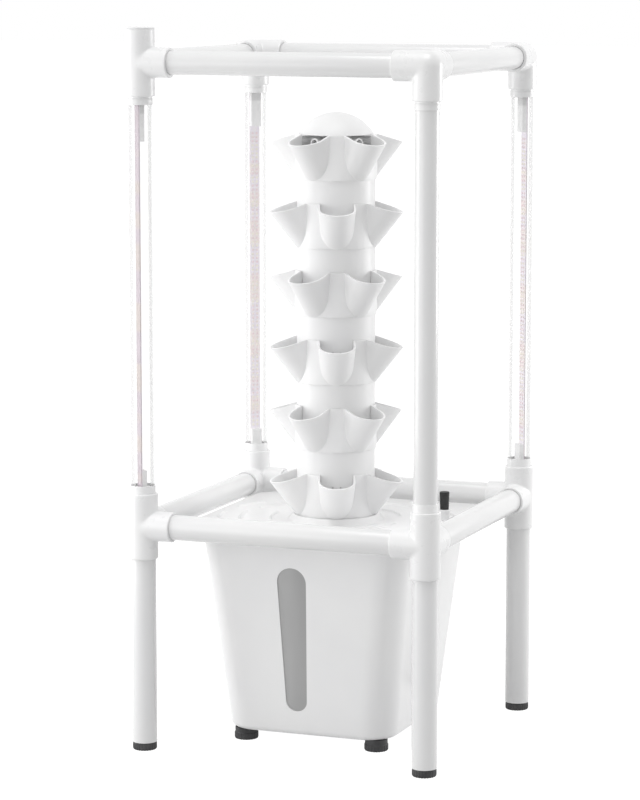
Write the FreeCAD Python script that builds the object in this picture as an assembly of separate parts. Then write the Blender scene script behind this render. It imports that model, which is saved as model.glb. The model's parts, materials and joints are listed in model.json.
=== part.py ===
import FreeCAD, Part
import math
import os
from FreeCAD import Vector

# A six tier planting tower on a water tank, inside a pipe frame with three lamp tubes.
# Sizes are in millimetres. The origin lies on the floor, midway between the four posts.
# +Z is up, -Y is the front, where the water window is, and +X is the right-hand side.

# Pipe frame
post_spacing = 380.0
leg_pipe_diameter = 32.0
pipe_wall = 2.0
fitting_wall = 2.9
fitting_reach = 42.0
socket_depth = 25.0
fitting_passage_diameter = 25.0
rim_chamfer = 1.2
middle_ring_rise = 10.0
top_ring_height = 877.5
socket_gap = 0.1
bushing_wall = 0.95
bushing_collar_height = 10.5
bushing_ledge_height = 5.0
bushing_ledge_bore_diameter = 24.0

# Cable cap on the open socket of the front left corner
cap_rise = 2.5
cap_plug_length = 12.0
cable_hole_diameter = 7.0
cable_hole_offset = 6.0

# Levelling feet
foot_diameter = 31.0
foot_base_taper = 1.0
foot_flute_count = 12
foot_flute_diameter = 5.0
foot_flute_depth = 1.25
leg_foot_height = 10.0
foot_pad_height = 2.0
foot_stem_diameter = 8.0
foot_stem_play = 3.0
foot_stem_gap = 0.05
insert_length = 20.0

# Lamps
lamp_wall = 1.5
lamp_turn_gap = 0.05
lamp_end_play = 0.5
lamp_board_width = 14.0
lamp_board_thickness = 1.6
lamp_board_setback = 3.0
lamp_plug_length = 27.0
lamp_driver_length = 49.0
lamp_driver_depth = 6.0
lamp_end_block_length = 22.0
lamp_inner_gap = 0.2

# Water tank
tank_base_height = 15.5
tank_rim_height = 272.0
tank_draft = 28.0
tank_corner_radius = 40.0
tank_base_edge_radius = 8.0
tank_wall = 3.0
tank_flange_width = 14.0
tank_foot_inset = 23.0
tank_foot_boss_wall = 5.0
tank_foot_boss_cover = 3.0
tank_insert_diameter = 14.0

# Water window, a tapered slot with round ends in the front wall
window_centre_x = -9.0
window_low_rise = 46.5
window_high_drop = 53.0
window_low_radius = 14.3
window_high_radius = 19.7
window_recess = 2.0
window_thickness = 1.4
window_ledge = 2.5
window_gap = 0.1

# Lid
lid_frame_gap = 1.0
lid_overhang = 15.0
lid_corner_radius = 34.0
lid_rise = 9.0
lid_plate = 3.0
lid_skirt_height = 8.5
lid_skirt_wall = 2.5
lid_seat_width = 4.0
lid_lip_depth = 16.0
lid_lip_gap = 2.0
collar_rim_width = 6.7
collar_rise = 8.0
collar_recess_depth = 1.5
collar_recess_gap = 0.8
lid_well_wall = 2.3
lid_hub_wall = 7.0
lid_hub_height = 6.0
lid_spoke_width = 4.0
ripple_rings = ((84.0, 5, 40.0), (44.0, 9, 28.0), (16.0, 11, 21.0))
ripple_middle_angle = 191.5
ripple_width = 4.0
ripple_rise = 1.0

# Port on the lid and its ribbed plug
port_edge_distance = 33.5
port_y = 39.0
port_neck_diameter = 13.0
port_rim_diameter = 16.0
port_rim_height = 3.0
port_height = 14.0
port_bore_diameter = 10.0
plug_shank_gap = 0.3
plug_shank_length = 15.0
plug_base_diameter = 11.4
plug_top_diameter = 13.0
plug_height = 23.0
plug_rib_count = 5
plug_rib_depth = 0.5

# Planting tower
tier_count = 6
pocket_count = 5
tier_pitch = 87.5
crown_height = 58.0
crown_diameter = 106.0
crown_wall = 2.0
spigot_gap = 0.3
spigot_wall = 2.3
spigot_depth = 22.0
pocket_width = 49.5
pocket_base_width = 41.0
pocket_wall = 2.4
pocket_reach = 37.0
pocket_tip_drop = 12.0
tier_floor = 2.4
seat_rib_width = 3.0
seat_rib_length = 5.0
spider_hub_wall = 3.5
spider_height = 6.0
spider_drop = 2.0
spider_arm_width = 3.0
riser_pass_gap = 0.5
drip_hole_size = 2.0
drip_hole_spacing = 10.3
drip_hole_height = 6.0
first_pocket_angle = -68.0

# Riser pipe, distributor and dome
riser_diameter = 20.0
riser_wall = 2.0
riser_collar_width = 5.0
riser_collar_height = 4.0
riser_hub_gap = 0.2
distributor_ring_height = 3.0
distributor_ring_width = 5.0
distributor_ring_gap = 0.6
distributor_cup_diameter = 36.0
distributor_cup_wall = 2.0
distributor_socket_depth = 14.0
distributor_socket_wall = 2.5
spout_diameter = 12.0
spout_bore_diameter = 8.0
spout_end_inset = 2.0
spout_rise = 12.0
stem_diameter = 8.0
stem_length = 18.0
dome_inset = 2.4
dome_rise = 28.0
dome_wall = 2.0
dome_socket_wall = 2.0
dome_fit_gap = 0.1
dome_edge_drop = 0.5

# Circulation pump on the tank floor
pump_width = 50.0
pump_height = 46.0
pump_front = 16.0
pump_back = 46.0
pump_edge_radius = 6.0
pump_chamber_diameter = 34.0
pump_chamber_back = 6.0
rotor_well_diameter = 19.0
rotor_well_back = 36.0
nozzle_diameter = 14.0
nozzle_wall = 2.0
nozzle_height = 16.0
suction_cup_diameter = 15.0
suction_cup_neck_diameter = 7.5
suction_cup_height = 6.0
suction_cup_spacing_x = 34.0
suction_cup_spacing_y = 44.0
pump_cover_thickness = 4.0
pump_cover_slot_count = 7
pump_cover_slot_width = 2.4
pump_cover_slot_height = 26.0
impeller_tip_gap = 2.0
impeller_hub_diameter = 12.0
impeller_blade_count = 6
impeller_blade_thickness = 2.0
impeller_depth = 12.0
rotor_gap = 0.5
connector_wall = 3.0
connector_overlap = 12.0
connector_socket_depth = 14.0
connector_gap = 0.05
riser_foot_gap = 1.0

# Values worked out from the sizes above
half_spacing = post_spacing / 2
leg_radius = leg_pipe_diameter / 2
light_radius = leg_radius - bushing_wall - lamp_turn_gap
stop_distance = fitting_reach - socket_depth
leg_socket_radius = leg_radius + socket_gap
fitting_radius = leg_socket_radius + fitting_wall
light_socket_radius = light_radius + socket_gap
light_high_end = top_ring_height - stop_distance - bushing_ledge_height

lid_half_width = half_spacing - fitting_radius - lid_frame_gap
lid_top_height = tank_rim_height + lid_rise
middle_ring_height = lid_top_height + middle_ring_rise
light_low_end = middle_ring_height + stop_distance + bushing_ledge_height
port_x = lid_half_width - port_edge_distance
tank_rim_half_width = lid_half_width - lid_overhang - tank_flange_width
tank_base_half_width = tank_rim_half_width - tank_draft
taper_run = tank_rim_height - tank_base_height
taper_angle = math.degrees(math.atan2(tank_draft, taper_run))
window_low_height = tank_base_height + window_low_rise
window_high_height = tank_rim_height - window_high_drop

crown_radius = crown_diameter / 2
crown_bore_radius = crown_radius - crown_wall
spigot_radius = crown_bore_radius - spigot_gap
spigot_bore_radius = spigot_radius - spigot_wall
neck_height = tier_pitch - crown_height
seat_height = crown_height - spigot_depth
pocket_tip_radius = crown_radius + pocket_reach
pocket_tip_height = crown_height - pocket_tip_drop
pocket_slant = math.hypot(pocket_reach, pocket_tip_height)
pocket_taper = math.asin((pocket_width - pocket_base_width) / 2 / pocket_slant)
pocket_lean = math.atan2(pocket_reach, pocket_tip_height) - pocket_taper
pocket_step = 360.0 / pocket_count

collar_top = lid_top_height + collar_rise
tower_base = collar_top - collar_recess_depth
well_floor = tower_base - neck_height - spigot_depth - riser_foot_gap
lid_underside = lid_top_height - lid_plate
riser_radius = riser_diameter / 2
top_tier_base = tower_base + (tier_count - 1) * tier_pitch
distributor_base = top_tier_base + seat_height
spout_height = distributor_base + spout_rise
cup_top = spout_height + spout_diameter / 2 + distributor_cup_wall / 2
dome_edge = top_tier_base + crown_height - dome_edge_drop

tank_floor = tank_base_height + tank_wall
pump_base = tank_floor + suction_cup_height
pump_top = pump_base + pump_height
impeller_height = pump_base + pump_height / 2
nozzle_top = pump_top + nozzle_height
connector_base = nozzle_top - connector_overlap
connector_stop = nozzle_top + connector_wall
nozzle_bore_radius = nozzle_diameter / 2 - nozzle_wall
riser_base = connector_stop + riser_foot_gap
riser_top = distributor_base + distributor_ring_height

corners = {
    "front_left": (-1, -1),
    "front_right": (1, -1),
    "rear_right": (1, 1),
    "rear_left": (-1, 1),
}
lit_corners = ("front_left", "rear_right", "rear_left")
sides = {
    "front": ("front_left", "front_right"),
    "right": ("front_right", "rear_right"),
    "rear": ("rear_right", "rear_left"),
    "left": ("rear_left", "front_left"),
}
upward = Vector(0, 0, 1)
reach_past = 1.0


def save(name, shape):
    """Write one piece, or one group of like pieces, as a STEP file."""
    shape.exportStep("parts/" + name + ".step")


def group(solids):
    """Keep separate solids together in one file."""
    return Part.makeCompound(solids)


def rod(radius, low, high, x=0.0, y=0.0):
    """An upright cylinder between two heights."""
    return Part.makeCylinder(radius, high - low, Vector(x, y, low))


def pipe(outer_radius, inner_radius, low, high, x=0.0, y=0.0):
    """An upright tube between two heights."""
    return rod(outer_radius, low, high, x, y).cut(rod(inner_radius, low, high, x, y))


def block(x_low, x_high, y_low, y_high, z_low, z_high):
    """A box between two corners."""
    return Part.makeBox(x_high - x_low, y_high - y_low, z_high - z_low, Vector(x_low, y_low, z_low))


def turned(profile, x=0.0, y=0.0):
    """Turn a closed outline of (radius, height) points about an upright axis."""
    points = [Vector(radius, 0, height) for radius, height in profile]
    points.append(points[0])
    solid = Part.Face(Part.makePolygon(points)).revolve(Vector(0, 0, 0), upward, 360)
    solid.translate(Vector(x, y, 0))
    return solid


def spun(shape, angle):
    """A copy of a shape turned about the tower's axis."""
    copy = shape.copy()
    copy.rotate(Vector(0, 0, 0), upward, angle)
    return copy


def rounded_square(half, corner, height):
    """A square outline with round corners, lying flat at one height."""
    flat = half - corner
    diagonal = flat + corner * math.sqrt(0.5)
    centre = Vector(0, 0, height)
    edges = []
    for quarter in range(4):
        side = Part.makeLine(Vector(half, -flat, height), Vector(half, flat, height))
        corner_middle = Vector(diagonal, diagonal, height)
        bend = Part.Arc(Vector(half, flat, height), corner_middle, Vector(flat, half, height))
        for edge in (side, bend.toShape()):
            edge.rotate(centre, upward, 90 * quarter)
            edges.append(edge)
    return Part.Wire(edges)


def square_plate(half, corner, low, high):
    """An upright prism on a rounded square."""
    return Part.Face(rounded_square(half, corner, low)).extrude(Vector(0, 0, high - low))


def square_ring(half, corner, width, low, high):
    """A rounded square frame of even width."""
    inner = square_plate(half - width, corner - width, low, high)
    return square_plate(half, corner, low, high).cut(inner)


def tapered_box(low, high, inset):
    """The tank's tapered form between two heights, inset from its outer face."""
    wires = []
    for height in (low, high):
        share = (height - tank_base_height) / taper_run
        half = tank_base_half_width + tank_draft * share
        wires.append(rounded_square(half - inset, tank_corner_radius - inset, height))
    return Part.makeLoft(wires, True, True)


def fitting(centre, arms):
    """A socket fitting. Each arm is a direction, with the radius of the pipe socket in its end."""
    body = Part.makeSphere(fitting_radius, centre)
    plain = fitting_reach - rim_chamfer
    for direction, socket_radius in arms:
        body = body.fuse(Part.makeCylinder(fitting_radius, plain, centre, direction))
        rim_radius = fitting_radius - rim_chamfer
        rim_start = centre + direction * plain
        body = body.fuse(Part.makeCone(fitting_radius, rim_radius, rim_chamfer, rim_start, direction))
    for direction, socket_radius in arms:
        passage = Part.makeCylinder(fitting_passage_diameter / 2, fitting_reach, centre, direction)
        socket_start = centre + direction * stop_distance
        socket = Part.makeCylinder(socket_radius, socket_depth + reach_past, socket_start, direction)
        body = body.cut(passage.fuse(socket))
    return body.removeSplitter()


def bushing(x, y, low, ledge_low):
    """A reducing sleeve that carries the slimmer upper pipe or lamp tube in a leg-size socket."""
    length = socket_depth + bushing_collar_height
    bore = light_radius + lamp_turn_gap
    sleeve = pipe(leg_radius, bore, low, low + length, x, y)
    if ledge_low:
        ledge_base = low
    else:
        ledge_base = low + length - bushing_ledge_height
    ledge_top = ledge_base + bushing_ledge_height
    ledge = pipe(leg_radius, bushing_ledge_bore_diameter / 2, ledge_base, ledge_top, x, y)
    return sleeve.fuse(ledge).removeSplitter()


def foot(x, y, height):
    """A fluted levelling foot with its plain-modelled screw, standing on the floor."""
    radius = foot_diameter / 2
    base_radius = foot_diameter / 2 - foot_base_taper
    profile = [(0, 0), (base_radius, 0), (radius, foot_pad_height), (radius, height), (0, height)]
    knob = turned(profile)
    flute_radius = foot_flute_diameter / 2
    flute_ring = radius + flute_radius - foot_flute_depth
    flute_top = leg_foot_height - foot_pad_height
    for index in range(foot_flute_count):
        angle = 2 * math.pi * index / foot_flute_count
        flute_x = flute_ring * math.cos(angle)
        flute_y = flute_ring * math.sin(angle)
        knob = knob.cut(rod(flute_radius, -reach_past, flute_top, flute_x, flute_y))
    stem_top = height + insert_length - foot_stem_play
    knob = knob.fuse(rod(foot_stem_diameter / 2, height, stem_top)).removeSplitter()
    knob.translate(Vector(x, y, 0))
    return knob


def make_frame():
    """Legs, rings, fittings, upper post, bushings, cable cap and leg inserts."""
    leg_bore = leg_radius - pipe_wall
    light_bore = light_radius - pipe_wall
    inserts = []
    bushings = []
    for name, (side_x, side_y) in corners.items():
        x = side_x * half_spacing
        y = side_y * half_spacing
        across = (Vector(-side_x, 0, 0), leg_socket_radius)
        along = (Vector(0, -side_y, 0), leg_socket_radius)
        up = (Vector(0, 0, 1), leg_socket_radius)
        down = (Vector(0, 0, -1), leg_socket_radius)
        middle = Vector(x, y, middle_ring_height)
        top = Vector(x, y, top_ring_height)
        save("leg_" + name, pipe(leg_radius, leg_bore, leg_foot_height, middle.z - stop_distance, x, y))
        save("middle_fitting_" + name, fitting(middle, [across, along, up, down]))
        top_across = (across[0], light_socket_radius)
        top_along = (along[0], light_socket_radius)
        top_arms = [top_across, top_along, down]
        if name == "front_left":
            top_arms.append(up)
        save("top_fitting_" + name, fitting(top, top_arms))
        insert_top = leg_foot_height + insert_length
        stem_bore = foot_stem_diameter / 2 + foot_stem_gap
        inserts.append(pipe(leg_bore, stem_bore, leg_foot_height, insert_top, x, y))
        bushings.append(bushing(x, y, middle.z + stop_distance, True))
        bushing_low = top.z - stop_distance - socket_depth - bushing_collar_height
        bushings.append(bushing(x, y, bushing_low, False))
        save("leg_foot_" + name, foot(x, y, leg_foot_height))
        if name not in lit_corners:
            save("upper_post", pipe(light_radius, light_bore, light_low_end, light_high_end, x, y))
    save("leg_inserts", group(inserts))
    save("reducing_bushings", group(bushings))
    for name, (start, end) in sides.items():
        start_point = Vector(corners[start][0] * half_spacing, corners[start][1] * half_spacing, 0)
        end_point = Vector(corners[end][0] * half_spacing, corners[end][1] * half_spacing, 0)
        direction = (end_point - start_point).normalize()
        length = post_spacing - 2 * stop_distance
        for ring, height, radius in (
            ("middle_rail_", middle_ring_height, leg_radius),
            ("top_rail_", top_ring_height, light_radius),
        ):
            origin = start_point + direction * stop_distance + Vector(0, 0, height)
            outer = Part.makeCylinder(radius, length, origin, direction)
            save(ring + name, outer.cut(Part.makeCylinder(radius - pipe_wall, length, origin, direction)))
    make_cable_cap()


def make_cable_cap():
    """The cap on the open socket at the top of the front left corner, with its cable hole."""
    x = corners["front_left"][0] * half_spacing
    y = corners["front_left"][1] * half_spacing
    rim = top_ring_height + fitting_reach
    low = rim - cap_plug_length
    plug_radius = leg_socket_radius - socket_gap
    edge = fitting_radius - rim_chamfer
    profile = [(0, low), (plug_radius, low), (plug_radius, rim), (fitting_radius, rim)]
    profile += [(fitting_radius, rim + rim_chamfer), (edge, rim + cap_rise), (0, rim + cap_rise)]
    hole_y = y - cable_hole_offset
    hole = rod(cable_hole_diameter / 2, low - reach_past, rim + cap_rise + reach_past, x, hole_y)
    save("cable_cap", turned(profile, x, y).cut(hole))


def make_lamps():
    """Clear tubes with a lamp board, a driver block and end plugs, each turned to face the tower."""
    bore = light_radius - lamp_wall
    plug_radius = bore - lamp_inner_gap
    low = light_low_end
    high = light_high_end - lamp_end_play
    board_low = low + lamp_end_play + lamp_plug_length
    board_high = high - lamp_plug_length
    half_width = lamp_board_width / 2
    back = -lamp_board_setback - lamp_board_thickness
    front = -lamp_board_setback
    for name in lit_corners:
        side_x, side_y = corners[name]
        turn = math.degrees(math.atan2(-side_y, -side_x))
        place = Vector(side_x * half_spacing, side_y * half_spacing, 0)
        low_plug = rod(plug_radius, low + lamp_end_play, board_low)
        block_low = board_low - reach_past
        block_top = board_low + lamp_end_block_length
        low_block = block(front, front + lamp_driver_depth, -half_width, half_width, block_low, block_top)
        high_plug = rod(plug_radius, board_high, high)
        driver = block(front, front + lamp_driver_depth, -half_width, half_width,
                       board_high - lamp_driver_length, board_high + reach_past)
        board = block(back, front, -half_width, half_width, board_low, board_high)
        ends = group([low_plug.fuse(low_block).removeSplitter(), high_plug.fuse(driver).removeSplitter()])
        for piece, shape in (("lamp_tube_", pipe(light_radius, bore, low, high)),
                             ("lamp_board_", board), ("lamp_ends_", ends)):
            shape = spun(shape, turn)
            shape.translate(place)
            save(piece + name, shape)


def window_prism(shrink, near, far):
    """The window's slot form, between two depths behind the tank's front face."""
    cosine = math.cos(math.radians(taper_angle))
    low = (window_low_height - tank_base_height) / cosine
    high = (window_high_height - tank_base_height) / cosine
    low_radius = window_low_radius - shrink
    high_radius = window_high_radius - shrink
    lean = math.asin((high_radius - low_radius) / (high - low))

    def rim(radius, height, angle):
        return Vector(radius * math.cos(angle), near, height + radius * math.sin(angle))

    right_low = rim(low_radius, low, -lean)
    right_high = rim(high_radius, high, -lean)
    left_high = rim(high_radius, high, math.pi + lean)
    left_low = rim(low_radius, low, math.pi + lean)
    outline = [
        Part.makeLine(right_low, right_high),
        Part.Arc(right_high, rim(high_radius, high, math.pi / 2), left_high).toShape(),
        Part.makeLine(left_high, left_low),
        Part.Arc(left_low, rim(low_radius, low, -math.pi / 2), right_low).toShape(),
    ]
    prism = Part.Face(Part.Wire(outline)).extrude(Vector(0, far - near, 0))
    prism.rotate(Vector(0, 0, 0), Vector(1, 0, 0), taper_angle)
    prism.translate(Vector(window_centre_x, -tank_base_half_width, tank_base_height))
    return prism


def make_tank():
    """The tank with its window, feet and screwed inserts."""
    outer = tapered_box(tank_base_height, tank_rim_height, 0.0)
    base_edges = [edge for edge in outer.Edges if edge.BoundBox.ZMax < tank_base_height + reach_past]
    outer = outer.makeFillet(tank_base_edge_radius, base_edges)
    flange_half = tank_rim_half_width + tank_flange_width
    flange_corner = tank_corner_radius + tank_flange_width
    flange_low = tank_rim_height - tank_wall
    outer = outer.fuse(square_plate(flange_half, flange_corner, flange_low, tank_rim_height))
    tank = outer.cut(tapered_box(tank_floor, tank_rim_height + reach_past, tank_wall))
    inserts = []
    half = tank_base_half_width - tank_foot_inset
    boss_radius = tank_insert_diameter / 2 + tank_foot_boss_wall
    insert_top = tank_base_height + insert_length
    stem_bore = foot_stem_diameter / 2 + foot_stem_gap
    for name, (side_x, side_y) in corners.items():
        x = side_x * half
        y = side_y * half
        boss_top = tank_base_height + insert_length + tank_foot_boss_cover
        tank = tank.fuse(rod(boss_radius, tank_floor - reach_past, boss_top, x, y))
        tank = tank.cut(rod(tank_insert_diameter / 2, tank_base_height - reach_past, insert_top, x, y))
        inserts.append(pipe(tank_insert_diameter / 2, stem_bore, tank_base_height, insert_top, x, y))
        save("tank_foot_" + name, foot(x, y, tank_base_height))
    tank = tank.cut(window_prism(0.0, -reach_past, window_recess))
    tank = tank.cut(window_prism(window_ledge, 0.0, tank_wall + reach_past))
    save("tank", tank)
    save("tank_inserts", group(inserts))
    save("water_window", window_prism(window_gap, window_recess - window_thickness, window_recess))


def ripple(radius, start, sweep):
    """One raised arc on the lid's top, about the tower's axis."""
    low = lid_top_height - lid_plate / 2
    high = lid_top_height + ripple_rise
    half = ripple_width / 2
    crest = half - ripple_rise
    outline = [(radius - half, low), (radius + half, low), (radius + half, lid_top_height),
               (radius + crest, high), (radius - crest, high), (radius - half, lid_top_height)]
    points = [Vector(across, 0, height) for across, height in outline]
    points.append(points[0])
    arc = Part.Face(Part.makePolygon(points)).revolve(Vector(0, 0, 0), upward, sweep)
    return spun(arc, start)


def make_lid():
    """The lid, with its ripples, tower collar, drain well with riser hub, and port."""
    lid = square_plate(lid_half_width, lid_corner_radius, lid_underside, lid_top_height)
    skirt_low = lid_top_height - lid_skirt_height
    skirt = square_ring(lid_half_width, lid_corner_radius, lid_skirt_wall, skirt_low, lid_top_height)
    lid = lid.fuse(skirt)
    seat_half = tank_rim_half_width + tank_flange_width / 2 + lid_seat_width / 2
    seat_corner = tank_corner_radius + tank_flange_width / 2 + lid_seat_width / 2
    lid = lid.fuse(square_ring(seat_half, seat_corner, lid_seat_width, tank_rim_height, lid_top_height))
    lip_low = lid_underside - lid_lip_depth
    lip_top = lid_underside + lid_plate / 2
    lip_inset = tank_wall + lid_lip_gap
    lip = tapered_box(lip_low, lip_top, lip_inset)
    lip = lip.cut(tapered_box(lip_low, lip_top, lip_inset + lid_skirt_wall))
    lid = lid.fuse(lip)
    for edge_distance, count, sweep in ripple_rings:
        radius = lid_half_width - edge_distance
        for index in range(count):
            middle = ripple_middle_angle + 360.0 * index / count
            lid = lid.fuse(ripple(radius, middle - sweep / 2, sweep))
    collar_radius = crown_radius + collar_recess_gap + collar_rim_width
    well_radius = crown_bore_radius + lid_well_wall
    recess_radius = crown_radius + collar_recess_gap
    slope = collar_radius - collar_rise
    collar_outline = [(crown_bore_radius, lid_underside), (collar_radius, lid_underside)]
    collar_outline += [(collar_radius, lid_top_height), (slope, collar_top), (crown_bore_radius, collar_top)]
    collar = turned(collar_outline)
    lid = lid.fuse(collar).fuse(rod(well_radius, well_floor - lid_hub_height, lid_top_height))
    lid = lid.cut(rod(crown_bore_radius, well_floor - lid_hub_height, collar_top + reach_past))
    lid = lid.cut(rod(recess_radius, tower_base, collar_top + reach_past))
    hub_low = well_floor - lid_hub_height
    spoke_reach = crown_bore_radius + lid_well_wall / 2
    half_spoke = lid_spoke_width / 2
    for index in range(pocket_count):
        spoke = block(0, spoke_reach, -half_spoke, half_spoke, hub_low, well_floor)
        lid = lid.fuse(spun(spoke, first_pocket_angle + pocket_step * index))
    lid = lid.fuse(rod(riser_radius + lid_hub_wall, hub_low, well_floor))
    lid = lid.cut(rod(riser_radius + riser_hub_gap, hub_low - reach_past, well_floor + reach_past))
    port_top = lid_top_height + port_height
    port = rod(port_neck_diameter / 2, lid_underside, port_top, port_x, port_y)
    port = port.fuse(rod(port_rim_diameter / 2, port_top - port_rim_height, port_top, port_x, port_y))
    lid = lid.fuse(port)
    bore_low = lid_underside - reach_past
    lid = lid.cut(rod(port_bore_diameter / 2, bore_low, port_top + reach_past, port_x, port_y))
    save("tank_lid", lid.removeSplitter())
    make_port_plug(port_top)


def make_port_plug(seat):
    """The ribbed rubber plug that closes the lid's port."""
    shank = port_bore_diameter / 2 - plug_shank_gap
    base = plug_base_diameter / 2
    widening = (plug_top_diameter - plug_base_diameter) / 2
    profile = [(0, seat - plug_shank_length), (shank, seat - plug_shank_length), (shank, seat)]
    steps = 2 * plug_rib_count - 1
    for step in range(steps):
        radius = base + widening * step / steps
        if step % 2:
            radius -= plug_rib_depth
        profile.append((radius, seat + plug_height * step / steps))
        profile.append((radius, seat + plug_height * (step + 1) / steps))
    profile.append((0, seat + plug_height))
    save("port_plug", turned(profile, port_x, port_y))


def pocket_form(inset, low, high):
    """The form of one pocket along +X between two heights, with its walls moved in by the inset.

    It is a leaning half cone, widest at the top, with a flat-sided wedge behind it that meets the crown.
    """
    axis = Vector(math.sin(pocket_lean), 0, math.cos(pocket_lean))
    outward = Vector(math.cos(pocket_lean), 0, -math.sin(pocket_lean))
    base_radius = pocket_base_width / 2
    base_centre = Vector(crown_radius, 0, 0) - outward * base_radius
    start = base_centre - axis * crown_height
    length = 3 * crown_height
    narrow = base_radius - crown_height * math.tan(pocket_taper) - inset
    wide = narrow + length * math.tan(pocket_taper)
    side = Vector(0, 1, 0)
    end = start + axis * length
    outline = [start - side * narrow, end - side * wide, end + side * wide, start + side * narrow]
    outline.append(outline[0])
    wedge = Part.Face(Part.makePolygon(outline)).extrude(outward * -crown_radius)
    cone = Part.makeCone(narrow, wide, length, start, axis)
    span = pocket_tip_radius + pocket_width
    return cone.fuse(wedge).common(block(-span, span, -span, span, low, high)).removeSplitter()


def planting_tier():
    """One moulded tier: a crown with five leaning pockets, and a spigot below it."""
    above = crown_height + reach_past
    spigot_low = -neck_height - spigot_depth
    body = rod(crown_radius, 0, crown_height).fuse(rod(spigot_radius, spigot_low, tier_floor))
    outer = pocket_form(0, 0, above)
    inner = pocket_form(pocket_wall, tier_floor, above + reach_past)
    angles = [pocket_step * index for index in range(pocket_count)]
    for angle in angles:
        body = body.fuse(spun(outer, angle))
    body = body.cut(rod(crown_bore_radius, tier_floor, above + reach_past))
    body = body.cut(rod(spigot_bore_radius, spigot_low - reach_past, tier_floor + reach_past))
    for angle in angles:
        body = body.cut(spun(inner, angle))
    lip_fall = (crown_height - pocket_tip_height) / (pocket_tip_radius - crown_radius)
    far = pocket_tip_radius + pocket_width
    lip_cut = turned([(crown_radius, crown_height), (far, crown_height - (far - crown_radius) * lip_fall),
                      (far, above + pocket_width), (0, above + pocket_width), (0, crown_height)])
    body = body.cut(lip_cut)
    half_rib = seat_rib_width / 2
    rib_inner = crown_bore_radius - seat_rib_length
    rib_outer = crown_bore_radius + crown_wall / 2
    rib = block(rib_inner, rib_outer, -half_rib, half_rib, tier_floor / 2, seat_height)
    hub_radius = riser_radius + spider_hub_wall
    spider_low = -spider_drop - spider_height
    half_arm = spider_arm_width / 2
    arm = block(0, spigot_bore_radius + spigot_wall / 2, -half_arm, half_arm, spider_low, -spider_drop)
    for angle in angles:
        between = angle + pocket_step / 2
        body = body.fuse(spun(rib, between)).fuse(spun(arm, between))
    body = body.fuse(rod(hub_radius, spider_low, -spider_drop))
    half_hole = drip_hole_size / 2
    hole_middle = spigot_low + drip_hole_height
    for angle in angles:
        for offset in (-drip_hole_spacing / 2, drip_hole_spacing / 2):
            hole_low = hole_middle - half_hole
            hole_high = hole_middle + half_hole
            hole = block(0, crown_radius, offset - half_hole, offset + half_hole, hole_low, hole_high)
            body = body.cut(spun(hole, angle + pocket_step / 2))
    pass_radius = riser_radius + riser_pass_gap
    body = body.cut(rod(pass_radius, spider_low - reach_past, -spider_drop + reach_past))
    return body.removeSplitter()


def make_tower():
    """Six like tiers, each turned half a pocket from the one below."""
    tier = planting_tier()
    for index in range(tier_count):
        copy = spun(tier, first_pocket_angle + pocket_step / 2 * (index % 2))
        copy.translate(Vector(0, 0, tower_base + tier_pitch * index))
        save("tier_" + str(index + 1), copy)


def make_riser():
    """The pipe that carries the water from the pump to the distributor, held by its collar."""
    riser = rod(riser_radius, riser_base, riser_top)
    collar_radius = riser_radius + riser_collar_width
    riser = riser.fuse(rod(collar_radius, well_floor, well_floor + riser_collar_height))
    riser = riser.cut(rod(riser_radius - riser_wall, riser_base - reach_past, riser_top + reach_past))
    save("riser_pipe", riser.removeSplitter())


def make_distributor():
    """A cup with five spouts on a spoked ring that rests on the top tier's seat ribs."""
    ring_radius = crown_bore_radius - distributor_ring_gap
    ring_top = distributor_base + distributor_ring_height
    turn = first_pocket_angle + pocket_step / 2 * ((tier_count - 1) % 2)
    cup_radius = distributor_cup_diameter / 2
    socket_radius = riser_radius + connector_gap
    socket_low = ring_top - distributor_socket_depth
    body = pipe(ring_radius, ring_radius - distributor_ring_width, distributor_base, ring_top)
    half_arm = spider_arm_width / 2
    arm_inner = cup_radius - distributor_cup_wall
    arm_outer = ring_radius - distributor_ring_width / 2
    arm = block(arm_inner, arm_outer, -half_arm, half_arm, distributor_base, ring_top)
    spout_start = Vector(0, 0, spout_height)
    outward = Vector(1, 0, 0)
    spout_reach = crown_bore_radius - spout_end_inset
    spout = Part.makeCylinder(spout_diameter / 2, spout_reach, spout_start, outward)
    bore = Part.makeCylinder(spout_bore_diameter / 2, spout_reach + reach_past, spout_start, outward)
    body = body.fuse(rod(cup_radius, distributor_base, cup_top))
    body = body.fuse(rod(socket_radius + distributor_socket_wall, socket_low, ring_top))
    spout_angles = [turn + pocket_step * index for index in range(pocket_count)]
    for angle in spout_angles:
        body = body.fuse(spun(arm, angle + pocket_step / 2)).fuse(spun(spout, angle))
    body = body.cut(rod(socket_radius, socket_low - reach_past, ring_top))
    body = body.cut(rod(riser_radius - riser_wall, ring_top - reach_past, spout_height))
    body = body.cut(rod(cup_radius - distributor_cup_wall, ring_top + distributor_cup_wall,
                        cup_top - distributor_cup_wall))
    for angle in spout_angles:
        body = body.cut(spun(bore, angle))
    body = body.fuse(rod(stem_diameter / 2, cup_top - distributor_cup_wall, cup_top + stem_length))
    save("distributor", body.removeSplitter())


def make_dome():
    """The dome cap, with the socket under it that slips over the distributor's stem."""
    edge_radius = crown_bore_radius - dome_inset
    sphere_radius = (edge_radius * edge_radius + dome_rise * dome_rise) / (2 * dome_rise)
    centre_height = dome_edge + dome_rise - sphere_radius
    centre = Vector(0, 0, centre_height)
    above_edge = rod(edge_radius + reach_past, dome_edge, dome_edge + dome_rise + reach_past)
    shell = Part.makeSphere(sphere_radius, centre).common(above_edge)
    shell = shell.cut(Part.makeSphere(sphere_radius - dome_wall, centre))
    bore = stem_diameter / 2 + dome_fit_gap
    socket = pipe(bore + dome_socket_wall, bore, cup_top, dome_edge + dome_rise - dome_wall / 2)
    inside = Part.makeSphere(sphere_radius - dome_wall / 2, centre)
    save("dome_cap", shell.fuse(socket.common(inside)).removeSplitter())


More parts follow.
